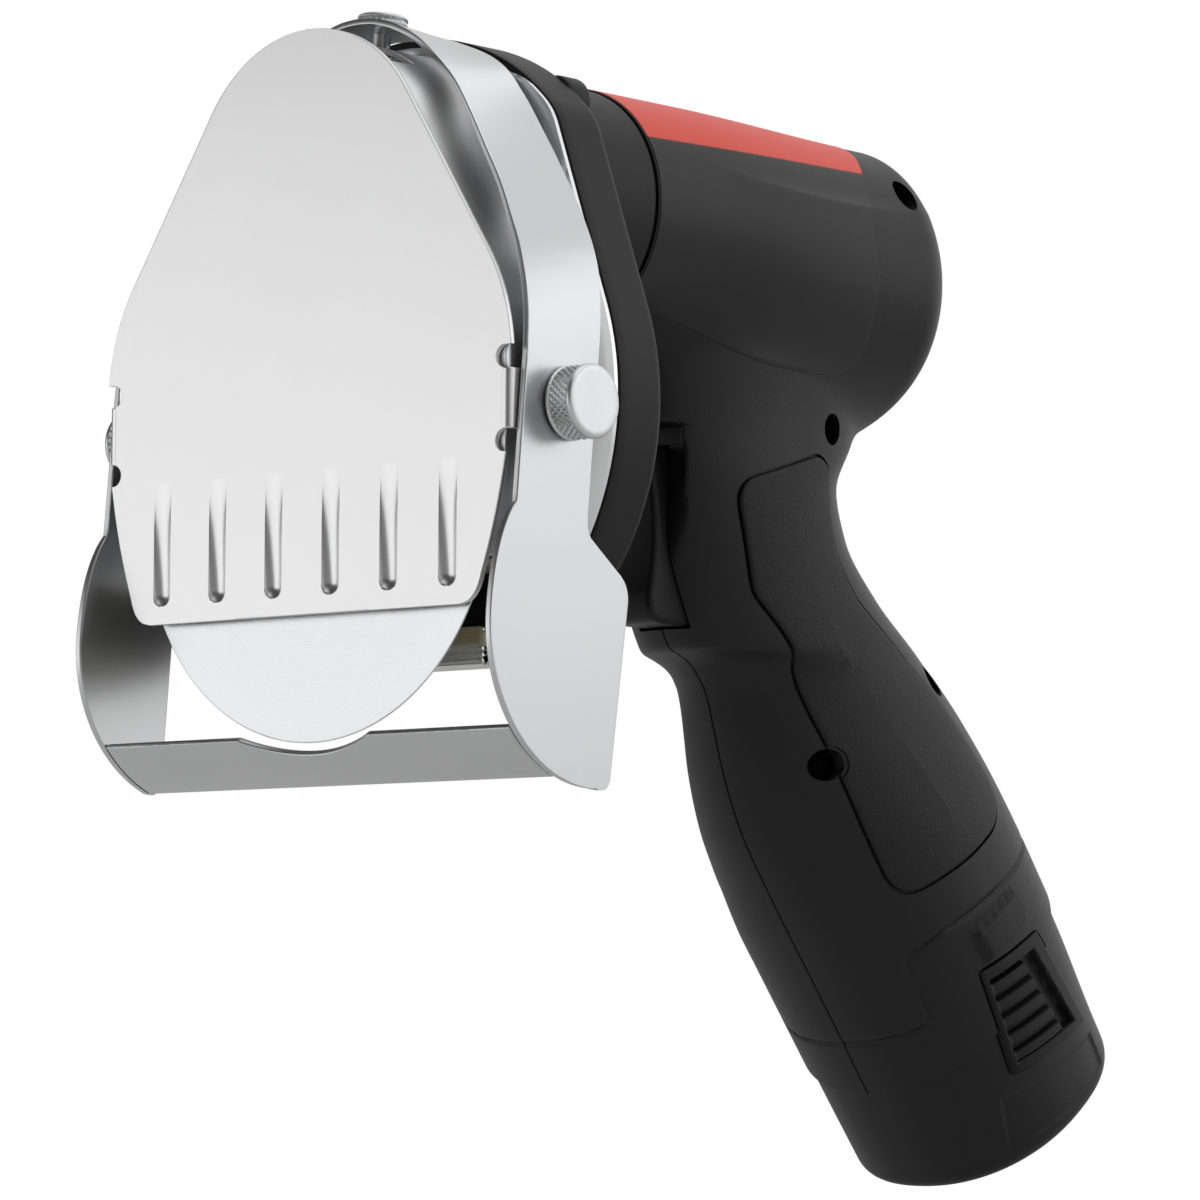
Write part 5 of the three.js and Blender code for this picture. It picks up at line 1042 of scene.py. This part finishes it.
def label():
    """A thin patch on the barrel's right side: rays from the barrel's axis meet the body, and the patch
    stands a tenth of a millimetre proud; its rear edge bulges and its lower corner is round."""
    turn = np.radians(np.linspace(-56, 84, 120))
    edge = smooth_line([[-56, 150], [-54.5, 154.5], [-52, 157.4], [-47, 158.8], [-20, 159], [5, 157],
                        [30, 160], [45, 163.5], [60, 167], [84, 170]])(np.degrees(turn))
    y = 82.7 + (edge[:, None] - 82.7) * close_ends(0.004, 0.02, 90)
    start = np.stack([0 * y, y, 0 * y + MOTOR_Z], -1)
    ray = np.broadcast_to(np.stack([np.cos(turn), 0 * turn, np.sin(turn)], -1)[:, None], start.shape)
    p = start + first_crossing(body_field, start, ray, 10, 45, 140)[..., None] * ray
    n = grid_normals(p)
    n = n * np.where(np.sum(n[..., 0]) < 0, -1, 1)
    piece = build("side_label", [sheet(p + 0.16 * n, n, 0.3, 0.06)])
    return finish_piece(piece, LABEL, "housing", "shell_plastic")


def inlays():
    """A soft pad on each side: its outline is drawn in towards a spine, laid on the body's side, and raised;
    the rim is a quarter circle, and the back lies under the shell's surface."""
    rim = softened(INLAY, 420, 14)
    spine = even(np.array([[136, 8], [140, -4], [152, -22], [168, -42], [181, -58]]), 900)
    foot = spine[np.argmin(np.linalg.norm(rim[:, None] - spine, axis=-1), axis=1)]
    for _ in range(40):
        foot = (np.roll(foot, 1, 0) + 2 * foot + np.roll(foot, -1, 0)) / 4
    foot = spine[np.argmin(np.linalg.norm(foot[:, None] - spine, axis=-1), axis=1)]
    away = np.linalg.norm(rim - foot, axis=1)[:, None]
    rise = [(None, share, 0.55) for share in (0, 0.25, 0.5, 0.72, 0.88)]
    for a in np.linspace(0.0, 1.45, 7):
        rise.append((0.9 * (1 - math.sin(a)), None, 0.55 - 0.75 * (1 - math.cos(a))))
    rise += [(0.0, None, -1.2), (None, 0.7, -1.3), (None, 0.35, -1.3), (None, 0, -1.3)]
    rings = []
    for inset, share, height in rise:
        flat = foot + (rim - foot) * (1 - inset / away if share is None else share)
        x = side_x(body_field, flat[:, 0], flat[:, 1])
        p = np.stack([x, flat[:, 0], flat[:, 1]], -1)
        h = 0.05
        slope = [body_field(p + h * np.eye(3)[k]) - body_field(p - h * np.eye(3)[k]) for k in range(3)]
        rings.append(p + height * unit(np.stack(slope, -1)))
    rings = np.stack(rings)
    points = rings.reshape(-1, 3)
    for side, name in SIDES:
        p = points * np.array([side, 1, 1])
        piece = build(f"soft_inlay_{name}", [(p, outward(p, quads(len(rings), len(rim), ring=True)))])
        if side > 0:
            carve(piece, [slab(circle(4.3, 48), 4, 60, 0.05, along_x(y, z)) for y, z in WELLS[1:3]])
        finish_piece(piece, GRIP_RUBBER, "housing", "grip_rubber", f"grip_inlay_{name}", sharp=40)


def trigger():
    """The trigger's side view, hollow in front, carried across with rounded edges."""
    outline = np.concatenate([
        [[124.8, 21]], bend((105.5, 21), (102.5, 21), (102.5, 18)),
        bend((102.5, 18), (107.5, 3), (103.5, -12), 40), bend((103.5, -12), (102.9, -18.3), (108, -18.3)),
        [[124.8, -18.3]],
    ])
    outline = softened(outline, 240, 4)
    plunger = softened([[120, 1.75], [134, 1.75], [134, 7.75], [120, 7.75]], 60, 2)
    surfaces = [slab(outline, -7, 7, 1.6, along_x(0, 0), 8), slab(plunger[::-1], -3, 3, 0.2, along_x(0, 0))]
    return finish_piece(build("trigger_lever_body", surfaces), LATCH_PLASTIC, "trigger_lever", "case_plastic",
                        "trigger")


# Battery

def battery_planes(share):
    """Planes from the collar's plane at share 0 to the battery's end at share 1: middles and slopes."""
    first = 208.15 * WAY + GRIP_T * ACROSS
    last = 246.0 * WAY + GRIP_T * ACROSS
    middle = first + share[:, None] * (last - first)
    return middle, np.radians(52 + (38 - 52) * np.clip(share, 0, 1))


def battery():
    """Sections of the grip's form drawn in: a neck in the collar, a shoulder, the case with a sunk panel on
    each side, and a rounded foot with a pocket for the base plate; above it the insert with the cells."""
    body = np.linspace(0.02, 0.88, 78)
    a = np.linspace(0, np.pi / 2, 9)
    share = np.concatenate([[-0.3, -0.004], [0.0, 0.003, 0.009], body, 1 - 0.11 * (1 - np.sin(a)),
                            [1.0, 1.0, 0.93, 0.92]])
    inset = np.concatenate([[3.3, 3.3], [2.2, 1.3, 0.98], np.full(len(body), 0.9),
                            0.9 + 2.7 * (1 - np.cos(a)), [3.7, 4.0, 4.2, 9.0]])
    middle, slope = battery_planes(share)
    panel = np.array([[-21.6, 227.2], [11.4, 234.4], [10.2, 244.0], [-24.0, 239.6]])
    angles = np.linspace(0, 2 * np.pi, 440, endpoint=False)

    def field(p):
        s, t = grip_place(p)
        lower = inset.reshape((-1,) + (1,) * (p.ndim - 2))
        a, b = panel, np.roll(panel, -1, 0)
        edge = unit(b - a)
        away = ((t[..., None] - a[:, 0]) * edge[:, 1] - (s[..., None] - a[:, 1]) * edge[:, 0]).max(-1)
        sunk = 0.5 * ease(0.5 - away / 0.9)
        return grip_field(p) + lower + np.where(lower < 0.95, sunk, 0)

    rings = sections(field, middle, slope, angles)
    square = softened([[-20.8, -20.8], [20.8, -20.8], [20.8, 20.8], [-20.8, 20.8]], 200, 30)
    piece = build("battery_shell", [skin(rings), slab(square, 169.7, 214, 0.8, along_grip)])
    for side, _ in SIDES:
        carve(piece, [slab(softened(latch_outline(0.5), 160, 6), 22.2, 60, 0.1, beside_grip(side))])
    finish_piece(piece, BATTERY_PLASTIC, "battery", "shell_plastic", "battery_case", sharp=40)
    lid_share = np.array([0.935, 0.94, 0.985, 0.995, 0.997])
    lid_inset = np.array([4.6, 4.4, 4.4, 4.7, 5.4])
    middle, slope = battery_planes(lid_share)
    lid = sections(lambda p: grip_field(p) + lid_inset.reshape((-1,) + (1,) * (p.ndim - 2)), middle,
                   slope * 0 + slope[-1], angles[::2])
    finish_piece(build("battery_foot_plate", [skin(lid)]), BATTERY_PLASTIC, "battery", "shell_plastic",
                 "battery_base")


def latches():
    """A framed push plate: over its leaning outline the height is the grip's side, raised, less a pocket
    with leaning ribs that grow from one side of the frame; walls run down to a flat back."""
    corner = latch_outline(0)
    uu, vv = np.meshgrid(close_ends(0.008, 0.02, 96), close_ends(0.008, 0.02, 110))
    flat = ((corner[0] * (1 - uu[..., None]) + corner[1] * uu[..., None]) * (1 - vv[..., None])
            + (corner[3] * (1 - uu[..., None]) + corner[2] * uu[..., None]) * vv[..., None])
    wide = 21.2 + 6.4 * vv
    across, along = uu * wide, vv * 28.2
    inside = np.minimum.reduce([across - 1.6, wide - 4.6 - across, along - 3.2, 25.4 - along])
    pocket = ease(inside / 0.9 + 0.5)
    turn = np.mod(along - 3.2, 4.7) - 1.0
    rib = np.minimum(np.minimum(turn, 3.1 - turn) / 0.7, (wide - 8.6 - across) / 1.2)
    rib = ease(rib + 0.5) * (along > 3.2) * (along < 25.4)
    rim = np.minimum.reduce([across, wide - across, along, 28.2 - along])
    round_over = 0.7 * (1 - np.sqrt(1 - np.clip(1 - rim / 0.7, 0, 1) ** 2))
    drop = pocket * (2.3 - 1.7 * rib) + round_over
    place = beside_grip(1)(flat[..., 0], flat[..., 1], np.zeros_like(uu))
    x = side_x(grip_field, place[..., 1], place[..., 2]) + 0.45 - drop
    p, back = place.copy(), place.copy()
    p[..., 0], back[..., 0] = x, 24.5
    r, c = border(*uu.shape)
    for side, name in SIDES:
        grids = [grid * np.array([side, 1, 1]) for grid in (p, back, np.stack([p[r, c], back[r, c]]))]
        piece = build(f"latch_plate_{name}", [boxed(*grids)])
        finish_piece(piece, LATCH_PLASTIC, f"{name}_latch", "case_plastic", f"latch_{name}", sharp=50)


glide_plate()
blade()
hood()
strap()
bar()
knobs()
lamp()
gear_case()
clamshell()
label()
inlays()
trigger()
battery()
latches()

# Nodes that keep their own shape
FOUR = range(1, 5)
KEPT = {
    MACHINE_STEEL: ["spindle", "spindle_gear", "idler_axle", "motor_can",
                    *(f"shell_screw_{k}" for k in FOUR)],
    KNOB_STEEL: ["blade_screw", "front_bearing", "rear_bearing", *(f"case_screw_{k}" for k in FOUR),
                 "pivot_nut_left", "pivot_nut_right", "top_nut"],
    BRASS: ["motor_pinion", "shaft_bush"],
    WINDING: ["rotor"],
    CASE_PLASTIC: ["gear_cover", "motor_end_cap", "switch_body", "terminal_block"],
    BOARD: ["lamp_board", "battery_board"],
    SLEEVE: [f"cell_{k}" for k in FOUR],
    NYLON: ["idler_gear"],
}
for material, names in KEPT.items():
    for name in names:
        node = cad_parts[name]
        node.data.materials.clear()
        node.data.materials.append(material)


# Stage

def floor():
    """A wide pale disc just under the battery when it is drawn out; rings of points about the Z axis."""
    a = np.linspace(0, 2 * np.pi, 96, endpoint=False)
    low = cad_box[0][2] - BATTERY_DROP
    r = np.array([0.05, 0.3, 0.8, 2, 4, 8])[:, None]
    p = np.stack([r * np.cos(a), 0.15 + r * np.sin(a), np.full((6, 96), low)], -1).reshape(-1, 3)
    mesh = bpy.data.meshes.new("studio_floor")
    mesh.from_pydata(p, [], quads(6, 96, ring=True).tolist() + [list(range(96))])
    piece = bpy.data.objects.new("studio_floor", mesh)
    bpy.context.scene.collection.objects.link(piece)
    f = Finish("studio_floor", Roughness=0.9, Specular_IOR_Level=0.1)
    cloud = f.noise(f.place(), 3.0, 2.0)
    f.feed("Base Color", f.blend(cloud, tone(238, 238, 238), tone(244, 244, 244)))
    glow = f.node("ShaderNodeEmission", {}, {"Color": (1, 1, 1, 1), "Strength": 1.14})
    seen = f.light_path("Is Camera Ray", "Is Transmission Ray") * 0.85 + f.light_path("Is Glossy Ray") * 0.12
    mix = f.node("ShaderNodeMixShader", {}, {0: seen, 1: Wire(f, f.shader.outputs[0]), 2: glow})
    f.tree.links.new(mix.socket, f.tree.nodes["Material Output"].inputs["Surface"])
    mesh.materials.append(f.material)


def lamp_panel(name, place, target, size, power):
    """A soft rectangular lamp at a place, turned to a target."""
    data = bpy.data.lights.new(name, "AREA")
    data.shape = "RECTANGLE"
    data.size, data.size_y, data.energy = *size, power
    piece = bpy.data.objects.new(name, data)
    back = unit(np.array(place) - np.array(target))
    right = unit(np.cross([0, 0, 1.0], back))
    up = np.cross(back, right)
    piece.matrix_world = Matrix([[right[k], up[k], back[k], place[k]] for k in range(3)] + [[0, 0, 0, 1]])
    bpy.context.scene.collection.objects.link(piece)


def studio():
    """A world that is white to the camera and, in reflections, brighter behind the part; three soft lamps and
    the camera."""
    scene = bpy.context.scene
    scene.view_settings.view_transform = "Standard"
    world = bpy.data.worlds.new("studio")
    scene.world = world
    world.use_nodes = True
    sky = Bench(world.node_tree)
    toward = sky.node("ShaderNodeTexCoord", out="Generated")
    behind = sky.node("ShaderNodeVectorMath", {"operation": "DOT_PRODUCT"},
                      {0: toward, 1: (0.57, 0.78, 0.2)}, out="Value")
    backdrop = behind.step(-0.35, 0.6) + 0.06
    camera_ray = sky.light_path("Is Camera Ray", "Is Transmission Ray")
    glossy_ray = sky.light_path("Is Glossy Ray")
    level = camera_ray + (1 - camera_ray) * (glossy_ray * backdrop + (1 - glossy_ray) * 0.42)
    sky.tree.links.new(level.socket, sky.tree.nodes["Background"].inputs["Strength"])
    sky.tree.nodes["Background"].inputs["Color"].default_value = (1, 1, 1, 1)
    lamp_panel("key_lamp", (-0.98, -1.13, -0.03), (0.0, 0.0, 0.03), (1.7, 1.0), 7.2)
    lamp_panel("rim_lamp", (1.2, 1.15, 0.5), (0.0, 0.12, 0.0), (0.9, 0.9), 1.6)
    lamp_panel("top_lamp", (0.2, -0.1, 1.6), (0.0, 0.1, 0.0), (1.4, 1.4), 4.5)
    camera = bpy.data.objects.new("camera", bpy.data.cameras.new("camera"))
    camera.data.lens = FOCAL_PX / PHOTO_PX * SENSOR_MM
    camera.data.sensor_width = SENSOR_MM
    camera.data.clip_end = 50
    camera.matrix_world = Matrix((
        (0.75553144, 0.05209468, 0.65303782, 0.8357446),
        (0.65507205, -0.07113854, -0.75221002, -0.8680324),
        (0.00727002, 0.99610514, -0.08787318, -0.1261917),
        (0, 0, 0, 1),
    ))
    scene.collection.objects.link(camera)
    scene.camera = camera


floor()
studio()
